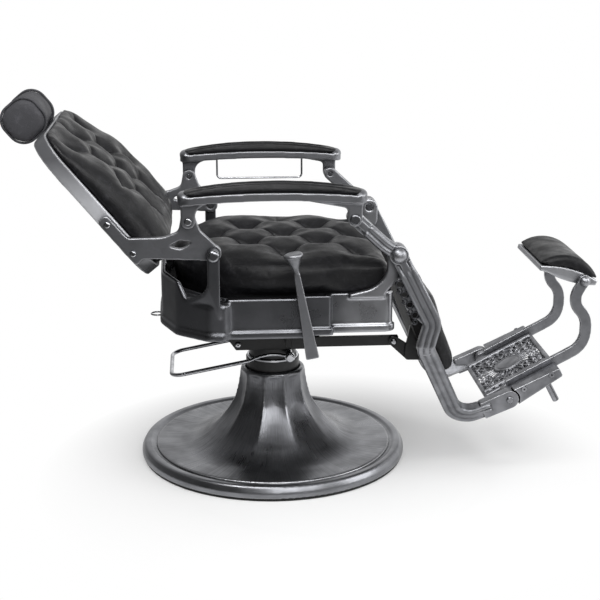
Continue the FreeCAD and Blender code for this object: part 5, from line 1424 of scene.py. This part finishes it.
@dataclass
class CalfUpholstery:
    """The calf panel's leather front: a tapered crowned pad with a row of tufts."""

    origin: Pair = (292.0, 450.0)
    lean: float = 20.0
    top_half: float = 219.0
    bottom_half: float = 174.0
    length: float = 224.0
    base: float = 30.4
    edge: float = 48.0
    top: float = 71.0
    crown_width: float = 40.0
    corner: float = 16.0

    @property
    def plane(self) -> Plane:
        """Plane of the panel's rear face: across and up."""
        c, s = spin(self.lean)
        return tilted(self.origin, (0, 1, 0), (-s, 0, c))

    def outline(self, grow: float) -> Array:
        """Tapered outline, wider above.

        Args:
            grow: Millimetres that it grows by on all sides.

        Returns:
            The closed outline.
        """
        top, bottom = self.top_half + grow, self.bottom_half + grow
        low, high = -self.length - grow, -2.0 + grow
        corner = max(self.corner + grow * 0.3, 6.0)
        return rounded([(-bottom, low, corner), (bottom, low, corner),
                        (top, high, corner), (-top, high, corner)], 200)

    def cushion(self) -> Cushion:
        """The pad before it is inflated.

        Returns:
            The pad, with a quarter circle over to its top.
        """
        levels = [(self.outline(-2), self.base), (self.outline(-1), self.base + 6)]
        for angle in crown(6):
            levels.append((self.outline(-1 - self.crown_width * (1 - math.cos(angle))),
                           self.edge + (self.top - self.edge) * math.sin(angle)))
        pattern = Tufting((0.0, -112.0), (62.0, 48.0), (4, 1), depth=15.0, dip=28.0, pleat_depth=5.0,
                          run_out=46.0)
        return Cushion("calf_leather", "calf_cushion", "leg_rest", self.plane, levels, cap=4.0,
                       tufting=pattern, tuft_margin=44.0, seed=17)


@dataclass
class FootPadUpholstery:
    """The pad on the footrest: an arched leather top over its tray."""

    hub: Pair = FOOT_HUB
    slope: float = 16.0
    rear: float = -114.0
    front: float = 36.0
    edge: float = 6.8
    tray: float = 17.4
    top: float = 46.0
    half: float = 116.0
    belly: float = -13.0
    cheek: Pair = (109.0, 116.4)

    @property
    def plane(self) -> Plane:
        """Plane of the side view, with its third axis along the width."""
        c, s = spin(self.slope)
        return tilted(self.hub, (c, 0, -s), (s, 0, c))

    def section(self, inset: float) -> Array:
        """Lens between the arch of the tray and the arch of the top.

        Args:
            inset: Millimetres that it is drawn in by.

        Returns:
            The closed section.
        """
        middle = (self.rear + self.front) / 2
        lower = arc((self.front - inset, self.edge), (middle, self.tray), (self.rear + inset, self.edge), 50)
        upper = arc((self.rear + inset, self.edge + 3), (middle, max(self.top - inset * 1.5, self.tray + 6)),
                    (self.front - inset, self.edge + 3), 70)
        return even(np.vstack([lower, upper]), 160)[::-1]

    def cheeks(self) -> list[Skin]:
        """Deep side of the tray at both ends: a lens between the tray's arch and a belly below it.

        Returns:
            Both cheeks, in millimetres.
        """
        rear, front, edge = self.rear, self.front, self.edge
        middle = (rear + front) / 2
        upper = arc((rear + 1, edge - 1), (middle, self.tray - 1), (front - 1, edge - 1), 40)
        lower = arc((rear + 3, edge - 7), (middle - 8, self.belly), (front - 3, edge - 13), 40)
        outline = np.vstack([upper, lower[::-1]])
        parts = []
        for side in (-1, 1):
            rings = [np.column_stack([outline, np.full(len(outline), side * y)]) for y in self.cheek[::side]]
            points, faces = capped(np.array(rings))
            parts.append((self.plane.place(points) / MM, faces))
        return parts

    def cushion(self) -> Cushion:
        """The pad before it is inflated.

        Returns:
            The pad, with a quarter circle round both ends.
        """
        ends = [(self.section(14 * (1 - math.sin(t)) + 1), self.half - 13 * (1 - math.cos(t)))
                for t in np.linspace(0, math.pi / 2, 6)]
        levels = [(o, -h) for o, h in ends] + ends[::-1]
        return Cushion("foot_pad_leather", "rest_cushion", "foot_pad", self.plane, levels, voxel=4.0, cap=3.0,
                       pressure=3.0, fill=0.7, wrinkle=0.5, seed=19)


@dataclass
class FootGrille:
    """The cast openwork foot plate: frame, ribs, scrolls between thin bars and a plain round boss."""

    pivot: Pair = (563.0, 181.0)
    slope: float = 28.0
    pin_run: float = 50.0
    pin_drop: float = 13.0
    length: float = 190.0
    half_width: float = 118.0
    frame_width: float = 11.0
    thickness: float = 9.0
    rib_at: float = 96.0
    rib_width: float = 10.0
    rib_height: float = 4.5
    crosses: int = 9
    cross_lean: float = 6.0
    cross_width: float = 3.6
    rays: int = 28
    ray_width: float = 3.0
    boss_radius: float = 29.0
    ring_radius: float = 35.0
    web_from: float = 21.0
    web_depth: Pair = (-8.0, -5.6)
    scroll_pitch: Pair = (30.0, 19.0)
    scroll_size: float = 7.2
    scroll_wire: float = 2.5
    voxel: float = 1.6

    @property
    def plane(self) -> Plane:
        """Plane of the plate's top, from its rear edge forward and across."""
        c, s = spin(self.slope)
        x = self.pivot[0] - self.pin_run * c - self.pin_drop * s
        z = self.pivot[1] - self.pin_run * s + self.pin_drop * c
        return tilted((x, z), (c, 0, s), (0, 1, 0))

    def bar(self, start: Sequence[float], end: Sequence[float], width: float, low: float,
            high: float) -> Skin:
        """A straight bar with eased upper edges: a six-sided profile carried between two places.

        Args:
            start: One end.
            end: The other end.
            width: Width of the bar.
            low: Height of its underside.
            high: Height of its upper side.

        Returns:
            Points and quads.
        """
        p, q = np.array(start, float), np.array(end, float)
        way = (q - p) / np.linalg.norm(q - p)
        side = np.array([-way[1], way[0]]) * width / 2
        ease = min(width, high - low) * 0.25
        flat = 1 - 2 * ease / width
        profile = [(-1, low), (1, low), (1, high - ease), (flat, high), (-flat, high), (-1, high - ease)]
        ends = []
        for place, scale in ((p, 0.0), (p, 1.0), (q, 1.0), (q, 0.0)):
            middle = (low + high) / 2
            ends.append([(*(place + side * a * scale), middle + (h - middle) * scale) for a, h in profile])
        return np.array(ends).reshape(-1, 3), grid_faces(4, len(profile))

    def scroll(self) -> Array:
        """Middle line of an S scroll: a spiral that shrinks as it turns, and its copy turned half round.

        Returns:
            The points of the line.
        """
        share = np.linspace(0, 1, 13)
        angle = math.pi - share * 1.7 * math.pi
        size = self.scroll_size * (1 - 0.62 * share)
        spiral = np.column_stack([self.scroll_size + size * np.cos(angle), size * np.sin(angle)])
        return np.vstack([-spiral[:0:-1], spiral])

    def scrolls(self) -> list[Skin]:
        """All scrolls of the plate, turned by turns the other way, outside the boss.

        Returns:
            Points and quads of each scroll.
        """
        inner = self.length - 2 * self.frame_width
        rows = int(inner // self.scroll_pitch[0])
        columns = int(2 * (self.rib_at - 4) // self.scroll_pitch[1])
        line = self.scroll()
        parts = []
        for i in range(rows):
            for j in range(columns):
                a = self.frame_width + inner * (i + 0.5) / rows
                b = -self.rib_at + 4 + 2 * (self.rib_at - 4) * (j + 0.5) / columns
                if math.hypot(a - self.length / 2, b) < self.ring_radius + 8:
                    continue
                flip = np.array([1.0, 1.0 if (i + j) % 2 else -1.0])
                path = np.column_stack([line * flip + np.array([a, b]), np.full(len(line), -2.2)])
                parts.append(tube(path, self.scroll_wire, 5, False, (0, 0, 1)))
        return parts

    def casting(self) -> Casting:
        """The plate as one casting.

        Returns:
            Frame, ribs, crossed bars, rays, scrolls, backing webs and boss in one skin.
        """
        half, length, edge = self.half_width - 0.3, self.length, self.frame_width / 2
        far = length - edge
        corners = [(edge, edge - half), (far, edge - half), (far, half - edge), (edge, half - edge)]
        parts = [self.bar(corners[i], corners[(i + 1) % 4], self.frame_width, -self.thickness, 0.0)
                 for i in range(4)]
        for side in (-1, 1):
            rib = side * self.rib_at
            parts.append(self.bar((edge, rib), (far, rib), self.rib_width, -self.thickness, self.rib_height))
            near, out = side * (self.rib_at + 4), side * (half - edge - 4)
            for step in range(self.crosses):
                a = self.frame_width + (length - 2 * self.frame_width) * (step + 0.5) / self.crosses
                for lean in (self.cross_lean, -self.cross_lean):
                    parts.append(self.bar((a - lean, near), (a + lean, out), self.cross_width, -7, -1))
        middle = np.array([length / 2, 0.0])
        for step in range(self.rays):
            angle = 2 * math.pi * (step + 0.5) / self.rays
            way = np.array([math.cos(angle), math.sin(angle)])
            reach = min((length / 2 - edge) / max(abs(way[0]), 1e-6), self.rib_at / max(abs(way[1]), 1e-6))
            parts.append(self.bar(middle + way * self.ring_radius, middle + way * reach, self.ray_width,
                                  -5.5, -1.8))
        parts += self.scrolls()
        for side in (-1, 1):
            web = side * (self.web_from + half) / 2
            parts.append(self.bar((edge, web), (far, web), half - self.web_from, *self.web_depth))
        r, w = self.ring_radius, self.boss_radius
        boss, faces = turned([(0, -9), (r + 2, -9), (r + 3, -4), (r + 2, 1.2), (r - 1, 2.2), (w + 3, 1.2),
                              (w + 1, -0.6), (w, 0.6), (w - 3, 2.2), (w * 0.5, 3.0), (0, 3.2)], 40)
        parts.append((boss + np.array([length / 2, 0, 0]), faces))
        points, faces = join(parts)
        return Casting("foot_grille", "footrest", GRILLE_PEWTER, ("foot_plate",), voxel=self.voxel, rounds=2,
                       ornament=[(self.plane.place(points) / MM, faces)], from_solids=False)


@dataclass
class LegOrnament:
    """Cast ornament of the leg arms: half-round ribs on the outer faces and scrolls on the pierced webs."""

    knee: Pair = (352.0, 408.0)
    jog: Pair = (336.0, 350.0)
    elbow: Pair = (438.0, 135.0)
    toe: Pair = (520.0, 160.0)
    lean: float = 29.0
    plane: float = 274.0
    face: float = 12.0
    rib_radius: float = 6.9
    rib_sink: float = 0.6
    rib_at: float = 13.6
    web_half: float = 4.0
    start_share: float = 0.28
    end_share: float = 0.88
    jog_blend: float = 18.0
    count: int = 4
    across: float = 28.1
    bead_radius: float = 8.4
    wire: float = 1.7

    def line(self) -> Array:
        """Middle line of an arm in its own plane, before the lower part leans in.

        Returns:
            The points of the line.
        """
        stretch = 1 / spin(self.lean)[0]
        top = np.array(LEG_PIVOT)
        start = top + (np.array(self.knee) - top) * 0.13
        low = [(x, self.jog[1] + (z - self.jog[1]) * stretch) for x, z in (self.elbow, self.toe)]
        corners = [(*start, 0), (*self.knee, 32), (*self.jog, 26), (*low[0], 48), (*low[1], 0)]
        return rounded(corners, 120, closed=False)

    def leaned(self, flat: Array, out: float) -> Array:
        """Takes points of the arm's plane, at a distance out of it, to the leaning arm.

        Below the jog the plane turns about the jog's height; round it the two are blended.

        Args:
            flat: Points in the arm's plane.
            out: Distance out of the plane.

        Returns:
            The points in the chair's frame.
        """
        c, s = spin(self.lean)
        drop = flat[:, 1] - self.jog[1]
        upright = np.column_stack([flat[:, 0], np.full(len(flat), self.plane + out), flat[:, 1]])
        tilted_in = np.column_stack([flat[:, 0], self.plane + out * c + drop * s,
                                     self.jog[1] - out * s + drop * c])
        share = smooth_step(-drop, -self.jog_blend, self.jog_blend)[:, None]
        return upright * (1 - share) + tilted_in * share

    def crank(self) -> Array:
        """Middle line of the crank from the leg pivot towards the armrest's front pivot."""
        line = rounded([(*LEG_PIVOT, 0), (235.9, 594.7, 64), (168.0, 658.0, 0)], 60, closed=False)
        return line[7:44]

    def ribs(self, side: Side) -> list[Skin]:
        """Three round ribs along an arm and two along its crank, sunk into it at their ends.

        Args:
            side: Side of the chair.

        Returns:
            Points and quads of each rib.
        """
        parts = []
        for line, places in ((self.line(), (-self.rib_at, 0.0, self.rib_at)),
                             (self.crank(), (-self.rib_at * 0.55, self.rib_at * 0.55))):
            side_way = sideways(line)
            share = np.linspace(0, 1, len(line))
            fade = 0.35 + 0.65 * smooth_step(share, 0.0, 0.06) * smooth_step(1 - share, 0.0, 0.1)
            for at in places:
                path = self.leaned(line + side_way * at, self.face - self.rib_sink)
                path = path * np.array([1.0, side.value, 1.0])
                parts.append(tube(path, self.rib_radius * fade, 12, False, (0, 1, 0)))
        return parts

    def arm(self, side: Side) -> Casting:
        """An arm with its ribs."""
        return Casting(f"cast_leg_arm_{side.word}", "leg_rest", RIBBED_PEWTER, (f"leg_arm_{side.word}",),
                       voxel=1.7, rounds=2, ornament=self.ribs(side))

    def scrolls(self) -> list[Skin]:
        """A bead round each hole of the webs and a curl between the holes, on both faces.

        Returns:
            Points and quads of each bead and curl.
        """
        start, end = np.array(LEG_PIVOT), np.array(self.knee)
        length = float(np.linalg.norm(end - start))
        down = (end - start) / length
        back = np.array([down[1], -down[0]])
        first = self.start_share * length
        step = (self.end_share * length - first) / self.count
        turn = np.linspace(0, 2 * math.pi, 20, endpoint=False)
        share = np.linspace(0, 1, 14)
        angle = share * 2.4 * math.pi
        size = (7.5 * (1 - 0.7 * share))[:, None]
        parts = []
        for i in range(self.count):
            hole = start + down * (first + step * (i + 0.5)) + back * self.across
            bead = hole + self.bead_radius * (np.cos(turn)[:, None] * down + np.sin(turn)[:, None] * back)
            curl = (hole + down * step * 0.5 + back * 7
                    + size * (np.cos(angle)[:, None] * back + np.sin(angle)[:, None] * down))
            for y in (self.plane - self.web_half, self.plane + self.web_half):
                for side in (-1, 1):
                    for flat, closed in ((bead, True), (curl, False)):
                        path = np.column_stack([flat[:, 0], np.full(len(flat), side * y), flat[:, 1]])
                        parts.append(tube(path, self.wire, 6, closed, (0, 1, 0)))
        return parts

    def build(self, finishes: Finishes) -> None:
        """Makes the scrolls and dresses them.

        Args:
            finishes: Where the finish comes from.
        """
        points, faces = join(self.scrolls())
        obj = mesh_object("leg_scrolls", points * MM, faces)
        finishes.paint(obj, PEWTER)
        Piece(obj, "leg_rest", Slot.PEWTER).declare()


@dataclass
class BellNeck:
    """Upper end of the bell, whose flutes run up to a rounded shoulder round the black flange.

    Each row is a height, the radius on the ridges there and the depth of the flutes.
    """

    bore: float = 67.5
    flutes: int = 10
    sides: int = 360
    rows: tuple[Place, ...] = (
        (140.0, 96.6, 9.0), (150.0, 93.4, 9.2), (160.0, 90.6, 9.2), (172.0, 87.6, 9.0), (186.0, 84.8, 8.4),
        (199.0, 82.8, 7.2), (209.0, 81.4, 5.2), (215.0, 80.4, 2.6), (218.0, 79.8, 0.4), (222.0, 78.4, 0.0),
        (224.6, 75.8, 0.0), (225.4, 72.0, 0.0))

    def collar(self) -> Skin:
        """The neck ring by ring; a flute is a parabola between two ridges.

        Returns:
            Points and quads.
        """
        turn = np.linspace(0, 2 * math.pi, self.sides, endpoint=False)
        share = (turn * self.flutes / (2 * math.pi)) % 1.0
        hollow = 1 - (2 * share - 1) ** 2
        rows = [(self.rows[0][0], self.bore, 0.0), *self.rows, (self.rows[-1][0], self.bore, 0.0),
                (self.rows[0][0], self.bore, 0.0)]
        rings = []
        for height, radius, depth in rows:
            size = radius - depth * hollow
            rings.append(np.column_stack([size * np.cos(turn), size * np.sin(turn),
                                          np.full(self.sides, height)]))
        return np.vstack(rings), grid_faces(len(rings), self.sides)


@dataclass
class RearFrame:
    """The full rear corners of the cast seat frame and the flared feet of its posts."""

    corners: tuple[Place, ...] = (
        (-104.0, 283.0, 0.0), (-122.0, 300.0, 10.0), (-158.0, 300.0, 30.0), (-230.0, 239.0, 46.0),
        (-267.0, 142.0, 90.0), (-269.5, 0.0, 0.0))
    middle: float = 51.0
    inner: float = 312.0
    bottom: float = 381.0
    ledge: float = 466.0
    crest: float = 42.5
    crest_ends: Pair = (204.0, 233.0)
    bead: Pair = (5.0, 17.0)
    foot_from: float = -160.0
    foot_slope: float = 0.95
    foot_inside: float = 276.5
    foot_top: float = 548.0
    frame_top: float = 474.0
    bow_ends: Pair = (50.0, 110.0)

    def wall(self) -> Skin:
        """Wall round the rear, from the full plan in to the solid's bow: bead, flat face and rounded top.

        A ring of the profile runs along the plan, moved out from the plan's middle or in towards it.

        Returns:
            Points and quads.
        """
        centre = np.array([self.middle, 0.0])
        half = rounded(self.corners, 90, closed=False)
        path = np.vstack([half, (half * np.array([1.0, -1.0]))[-2::-1]])
        way = path - centre
        reach = np.linalg.norm(way, axis=1)
        way /= reach[:, None]
        flat = np.ones(len(path))
        top = self.ledge + self.crest * smooth_step(-path[:, 0], *self.crest_ends)
        low, deep, high = self.bottom, *self.bead
        profile = [(deep, flat * low), (deep, flat * (low + high - 4)), (deep - 2, flat * (low + high)),
                   (0.0, flat * (low + high + 2)), (0.0, top - 9), (-2.5, top - 2.5), (-7.5, top),
                   (-12.5, top - 2.5), (-15.0, np.minimum(top - 9, self.ledge)), (-19.0, flat * self.ledge)]
        rings = [np.column_stack([way * (reach + out)[:, None] + centre, z]) for out, z in profile]
        inside = way * self.inner + centre
        rings += [np.column_stack([inside, flat * z]) for z in (self.ledge, low)]
        return capped(np.stack(rings, 1))

    def flare(self, points: Array) -> Array:
        """Turns the foot of each post in along the corner, and lets the bow's own crest run out before it.

        The further back a point of a foot is, the more it moves in. The crest keeps its height in the
        middle and sinks to the frame's top over the ends given.

        Args:
            points: Points of the frame's solid in millimetres.

        Returns:
            The moved points.
        """
        back = np.maximum(self.foot_from - points[:, 0], 0.0)
        side = np.abs(points[:, 1])
        foot = (side > self.foot_inside) & (points[:, 2] < self.foot_top)
        moved = points.copy()
        moved[:, 1] -= np.sign(points[:, 1]) * back * self.foot_slope * foot
        crest = ((points[:, 0] < 1 - self.crest_ends[0]) & (side < self.foot_inside)
                 & (points[:, 2] > self.frame_top))
        sunk = smooth_step(side, *self.bow_ends) * crest
        moved[:, 2] -= sunk * (points[:, 2] - self.frame_top)
        return moved


@dataclass
class SArms:
    """The two curved flat arms that carry the foot pad."""

    corners: tuple[Place, ...] = (
        (567.5, 198.1, 0.0), (754.75, 297.7, 58.0), (754.75, 367.7, 52.0), (716.75, 409.7, 42.0),
        (745.75, 459.7, 0.0))
    width: float = 27.0
    inner: float = 118.0
    outer: float = 130.0
    hub_radius: float = 15.0

    def strap(self) -> Skin:
        """Left arm: a flat rectangle carried along its middle line, drawn in to a point at both ends.

        Returns:
            Points and quads.
        """
        line = rounded(self.corners, 110, closed=False)
        side = sideways(line) * self.width / 2
        rows = [np.column_stack([(line + side * a)[:, 0], np.full(len(line), y), (line + side * a)[:, 1]])
                for a, y in ((1, self.inner), (1, self.outer), (-1, self.outer), (-1, self.inner))]
        return capped(np.stack(rows, 1))

    def hub(self) -> Skin:
        """Round end of the left arm: a disc that turns about the pad's pin.

        Returns:
            Points and quads.
        """
        r = self.hub_radius
        disc, faces = turned([(0, self.inner), (r, self.inner), (r, self.outer), (0, self.outer)], 40)
        at = np.array([self.corners[-1][0], 0.0, self.corners[-1][1]])
        return disc[:, [0, 2, 1]] + at, faces

    def casting(self) -> Casting:
        """Both arms, the right one a mirror of the left.

        Returns:
            The casting.
        """
        parts = [(points * np.array([1.0, side, 1.0]), faces)
                 for points, faces in (self.strap(), self.hub()) for side in (1.0, -1.0)]
        return Casting("cast_s_arms", "footrest", PEWTER, ("s_arms",), rounds=5, ornament=parts,
                       from_solids=False)


@dataclass(frozen=True)
class BallCap:
    """A domed cap, given by the place of the left one of its pair; the right one mirrors it."""

    name: str
    body: str
    place: Place
    radius: float
    height: float


@dataclass
class Fastenings:
    """Ball caps on the front pivots and on the foot pad's bolts, and hexagon sockets in the bolt heads."""

    caps: tuple[BallCap, ...] = (
        BallCap("ball_caps", "seat", (LEG_PIVOT[0], 290.6, LEG_PIVOT[1]), 17.0, 15.0),
        BallCap("foot_caps", "footrest", (FOOT_HUB[0], 130.2, FOOT_HUB[1]), 12.5, 12.0))
    socket_radius: float = 2.5
    heads: tuple[tuple[str, float, float, float], ...] = (
        ("back", -322.7, 281.0, 582.1), ("back", -377.4, 281.0, 648.5), ("seat", -88.0, 90.0, 305.3),
        ("seat", 88.0, 90.0, 305.3), ("footrest", 596.3, 185.0, 207.8), ("footrest", 661.7, 185.0, 242.5))

    def outward(self, shape: Array, place: Sequence[float], side: int) -> Array:
        """Stands a turned shape on a place with its third axis away from the chair's middle.

        Args:
            shape: Points of the shape.
            place: Place of the left one.
            side: Sign of Y.

        Returns:
            Points in metres.
        """
        axes = np.array([[1.0, 0, 0], [0, 0, -side], [0, side, 0]])
        return (shape @ axes + np.array([place[0], side * place[1], place[2]])) * MM

    def build(self, finishes: Finishes) -> None:
        """Makes the caps and the sockets on both sides of the chair.

        Args:
            finishes: Where the finish comes from.
        """
        share = np.linspace(0, math.pi / 2, 9)
        for cap in self.caps:
            dome = [(0, -0.2)] + [(cap.radius * math.cos(t), cap.height * math.sin(t)) for t in share]
            shape, faces = turned(dome, 32)
            parts = [(self.outward(shape, cap.place, side), faces) for side in (-1, 1)]
            obj = mesh_object(cap.name, *join(parts))
            finishes.paint(obj, SATIN_NICKEL)
            Piece(obj, cap.body, Slot.BRIGHT_STEEL).declare()
        r = self.socket_radius
        socket, faces = turned([(0, -2.0), (r, -2.0), (r, 0.3), (r * 0.9, 0.3), (0, 0.2)], 6)
        for body in dict.fromkeys(head[0] for head in self.heads):
            parts = [(self.outward(socket, head[1:], side), faces)
                     for head in self.heads if head[0] == body for side in (-1, 1)]
            obj = mesh_object(f"bolt_sockets_{body}", *join(parts))
            finishes.paint(obj, BLACK_PAINT)
            Piece(obj, body, Slot.BRIGHT_STEEL).declare()


@dataclass(frozen=True)
class SoftBox:
    """A square soft lamp that faces a target, in metres and watts."""

    name: str
    place: Place
    target: Place
    size: float
    power: float

    def build(self) -> None:
        """Adds the lamp, tipped up and then turned so that it faces its target."""
        data = bpy.data.lights.new(self.name, "AREA")
        data.energy = self.power
        data.size = self.size
        lamp = bpy.data.objects.new(self.name, data)
        lamp.location = self.place
        way = np.array(self.target) - np.array(self.place)
        flat = math.hypot(way[0], way[1])
        lamp.rotation_euler = (math.atan2(flat, -way[2]), 0.0, math.atan2(-way[0], way[1]))
        bpy.context.scene.collection.objects.link(lamp)


@dataclass
class Studio:
    """Pale floor, soft lamps, white surround and the camera of the photograph, in metres and degrees."""

    position: Place = (-0.171, -3.167, 1.283)
    pitch: float = 15.69
    yaw: float = 4.33
    lens: float = 80.04
    floor_size: float = 14.0
    floor_front: float = -1.15
    ambient: float = 0.5
    room: float = 0.11
    left_flag: float = 0.12
    shadow_middle: Place = (0.14, -0.14, 0.0)
    shadow_reach: Pair = (0.38, 0.72)
    lamps: tuple[SoftBox, ...] = (
        SoftBox("top_box", (-0.7, -0.9, 2.8), (0.0, 0.0, 0.4), 1.2, 36.0),
        SoftBox("key_box", (0.65, -2.1, 2.0), (0.0, 0.0, 0.15), 2.0, 46.0),
        SoftBox("right_box", (2.6, -0.7, 1.4), (0.0, 0.0, 0.2), 1.6, 28.0))

    def camera(self) -> None:
        """Puts the camera where the photograph was taken from."""
        data = bpy.data.cameras.new("photo_camera")
        data.lens = self.lens
        data.sensor_width = 36.0
        data.clip_end = 60.0
        camera = bpy.data.objects.new("photo_camera", data)
        camera.location = self.position
        camera.rotation_euler = (math.radians(90 - self.pitch), 0.0, math.radians(-self.yaw))
        bpy.context.scene.collection.objects.link(camera)
        bpy.context.scene.camera = camera

    def seen(self, tree: bpy.types.NodeTree) -> tuple[bpy.types.NodeSocket, bpy.types.NodeSocket]:
        """Shares that are 1 for what is seen directly, and for what is seen in metal or through glass.

        Args:
            tree: Tree that the nodes go into.

        Returns:
            Both shares.
        """
        path = add_node(tree, "ShaderNodeLightPath").outputs
        indirect = add_node(tree, "ShaderNodeMath", {
            0: path["Is Glossy Ray"], 1: path["Is Transmission Ray"]},
            operation="ADD", use_clamp=True).outputs[0]
        return path["Is Camera Ray"], indirect

    def world(self) -> None:
        """White surround to the eye; metal shows the white backdrop behind the chair and the dim room."""
        world = bpy.data.worlds.new("white_surround")
        world.use_nodes = True
        tree = world.node_tree
        tree.nodes.clear()
        way = add_node(tree, "ShaderNodeTexCoord").outputs["Generated"]
        parts = add_node(tree, "ShaderNodeSeparateXYZ", {0: way}).outputs
        behind = add_node(tree, "ShaderNodeMapRange", {
            0: parts["Y"], 1: -0.5, 2: 0.35, 3: self.room, 4: 1.0}).outputs[0]
        above = add_node(tree, "ShaderNodeMapRange", {
            0: parts["Z"], 1: 0.45, 2: 0.9, 3: 1.0, 4: 0.25}).outputs[0]
        aside = add_node(tree, "ShaderNodeMapRange", {
            0: parts["X"], 1: -0.85, 2: 0.1, 3: self.left_flag, 4: 1.0}).outputs[0]
        level = add_node(tree, "ShaderNodeMath", {0: behind, 1: above}, operation="MULTIPLY").outputs[0]
        level = add_node(tree, "ShaderNodeMath", {0: level, 1: aside}, operation="MULTIPLY").outputs[0]
        white = linear("#ffffff")
        soft = add_node(tree, "ShaderNodeBackground", {"Color": white, "Strength": self.ambient})
        mirrored = add_node(tree, "ShaderNodeBackground", {"Color": white, "Strength": level})
        direct = add_node(tree, "ShaderNodeBackground", {"Color": white, "Strength": 1.0})
        camera, indirect = self.seen(tree)
        mixed = add_node(tree, "ShaderNodeMixShader", {
            0: indirect, 1: soft.outputs[0], 2: mirrored.outputs[0]})
        mixed = add_node(tree, "ShaderNodeMixShader", {
            0: camera, 1: mixed.outputs[0], 2: direct.outputs[0]})
        add_node(tree, "ShaderNodeOutputWorld", {"Surface": mixed.outputs[0]})
        bpy.context.scene.world = world

    def floor(self) -> None:
        """Pale paper that keeps the chair's shadow and runs out to white."""
        half, front = self.floor_size / 2, self.floor_front
        points = np.array([(-half, front, 0), (half, front, 0), (half, half, 0), (-half, half, 0)])
        obj = mesh_object("studio_floor", points - np.array([0, 0, 0.0005]), [[0, 1, 2, 3]])
        material, tree = new_material("studio_paper")
        place = add_node(tree, "ShaderNodeTexCoord").outputs["Object"]
        away = add_node(tree, "ShaderNodeVectorMath", {0: place, 1: self.shadow_middle},
                        operation="DISTANCE").outputs["Value"]
        left = add_node(tree, "ShaderNodeSeparateXYZ", {0: place}).outputs["X"]
        paper = add_node(tree, "ShaderNodeBsdfDiffuse", {"Color": linear("#dedede")})
        camera, indirect = self.seen(tree)
        flagged = add_node(tree, "ShaderNodeMapRange", {
            0: left, 1: -1.0, 2: 0.0, 3: self.left_flag, 4: 1.0}).outputs[0]
        level = add_node(tree, "ShaderNodeMix", {0: indirect, 2: 1.0, 3: flagged}).outputs[0]
        glow = add_node(tree, "ShaderNodeEmission", {"Color": linear("#ffffff"), "Strength": level})
        shown = add_node(tree, "ShaderNodeMath", {0: camera, 1: indirect}, operation="ADD",
                         use_clamp=True).outputs[0]
        paleness = add_node(tree, "ShaderNodeMapRange", {
            0: away, 1: self.shadow_reach[0], 2: self.shadow_reach[1], 3: 0.12, 4: 1.0}).outputs[0]
        share = add_node(tree, "ShaderNodeMath", {0: shown, 1: paleness}, operation="MULTIPLY").outputs[0]
        mixed = add_node(tree, "ShaderNodeMixShader", {0: share, 1: paper.outputs[0], 2: glow.outputs[0]})
        add_node(tree, "ShaderNodeOutputMaterial", {"Surface": mixed.outputs[0]})
        obj.data.materials.append(material)

    def build(self) -> None:
        """Sets up the whole studio."""
        self.camera()
        self.world()
        self.floor()
        for lamp in self.lamps:
            lamp.build()
        bpy.context.scene.view_settings.view_transform = "Standard"


@dataclass
class RimFiller:
    """Ring that closes the gap between the bell's disc and its rolled rim."""

    inner: float = 292.8
    outer: float = 299.5
    low: float = 8.0
    high: float = 29.0

    def ring(self) -> Skin:
        """A rectangle turned about the stand's axis."""
        return turned([(self.inner, self.low), (self.outer, self.low), (self.outer, self.high),
                       (self.inner, self.high), (self.inner, self.low)], 180)


def plain_castings() -> list[Casting]:
    """Castings that keep the main shape of their construction solids.

    Returns:
        The castings, in the order in which they are built.
    """
    rear = RearFrame()
    castings = [Casting("cast_bell", "base", BELL_PEWTER, ("stand_casting",), voxel=3.1, rounds=2,
                        ornament=[BellNeck().collar()]),
                Casting("cast_rim", "base", RIM_PEWTER, ("stand_rim",), voxel=2.4, rounds=3,
                        ornament=[RimFiller().ring()]),
                Casting("cast_skirt", "seat", PEWTER_WITH_PAINTED_LIGHT, ("seat_frame",), voxel=2.6, rounds=8,
                        ornament=[rear.wall()], bend=rear.flare),
                Casting("cast_band", "back", BAND, ("back_rim",), voxel=2.4, rounds=4),
                Casting("cast_tray", "foot_pad", TRAY, ("rest_shell",), rounds=4,
                        ornament=FootPadUpholstery().cheeks()),
                SArms().casting(),
                Casting("cast_hand_lever", "recline_lever", PEWTER, ("hand_lever", "hand_knob"), voxel=1.6)]
    for word in (side.word for side in Side):
        castings.append(Casting(f"cast_bracket_{word}", "back", PEWTER, (f"back_bracket_{word}",), rounds=9))
        castings.append(Casting(f"cast_foot_block_{word}", "footrest", PEWTER, (f"foot_block_{word}",)))
    return castings


def inflate(cushions: Sequence[Cushion]) -> None:
    """Runs the cloth of all cushions together and takes their shapes.

    Args:
        cushions: The cushions, already shaped.
    """
    scene = bpy.context.scene
    scene.frame_start, scene.frame_end = 1, SLACK_HIDE.frames
    for cushion in cushions:
        cushion.add_cloth()
    for frame in range(1, SLACK_HIDE.frames + 1):
        scene.frame_set(frame)
    for cushion in cushions:
        cushion.settle()
    scene.frame_set(1)


def main() -> None:
    """Builds the studio, the finishes and every piece."""
    logging.basicConfig(level=logging.INFO, format="%(name)s: %(message)s")
    finishes = Finishes()
    Studio().build()
    finishes.paint_construction()
    back, head, arms = BackUpholstery(), HeadUpholstery(), ArmrestUpholstery()
    cushions = [SeatUpholstery().cushion(), back.cushion(), back.cover(), head.cushion(),
                *(arms.cushion(side) for side in Side), CalfUpholstery().cushion(),
                FootPadUpholstery().cushion()]
    for cushion in cushions:
        cushion.shape()
    inflate(cushions)
    for cushion in cushions:
        cushion.finish(finishes)
    head.dress(finishes)
    legs = LegOrnament()
    castings = [maker.arm(side) for maker in (arms, legs) for side in Side]
    for casting in [*castings, *plain_castings(), FootGrille().casting()]:
        casting.build(finishes)
    legs.build(finishes)
    Fastenings().build(finishes)


if __name__ == "__main__":
    main()
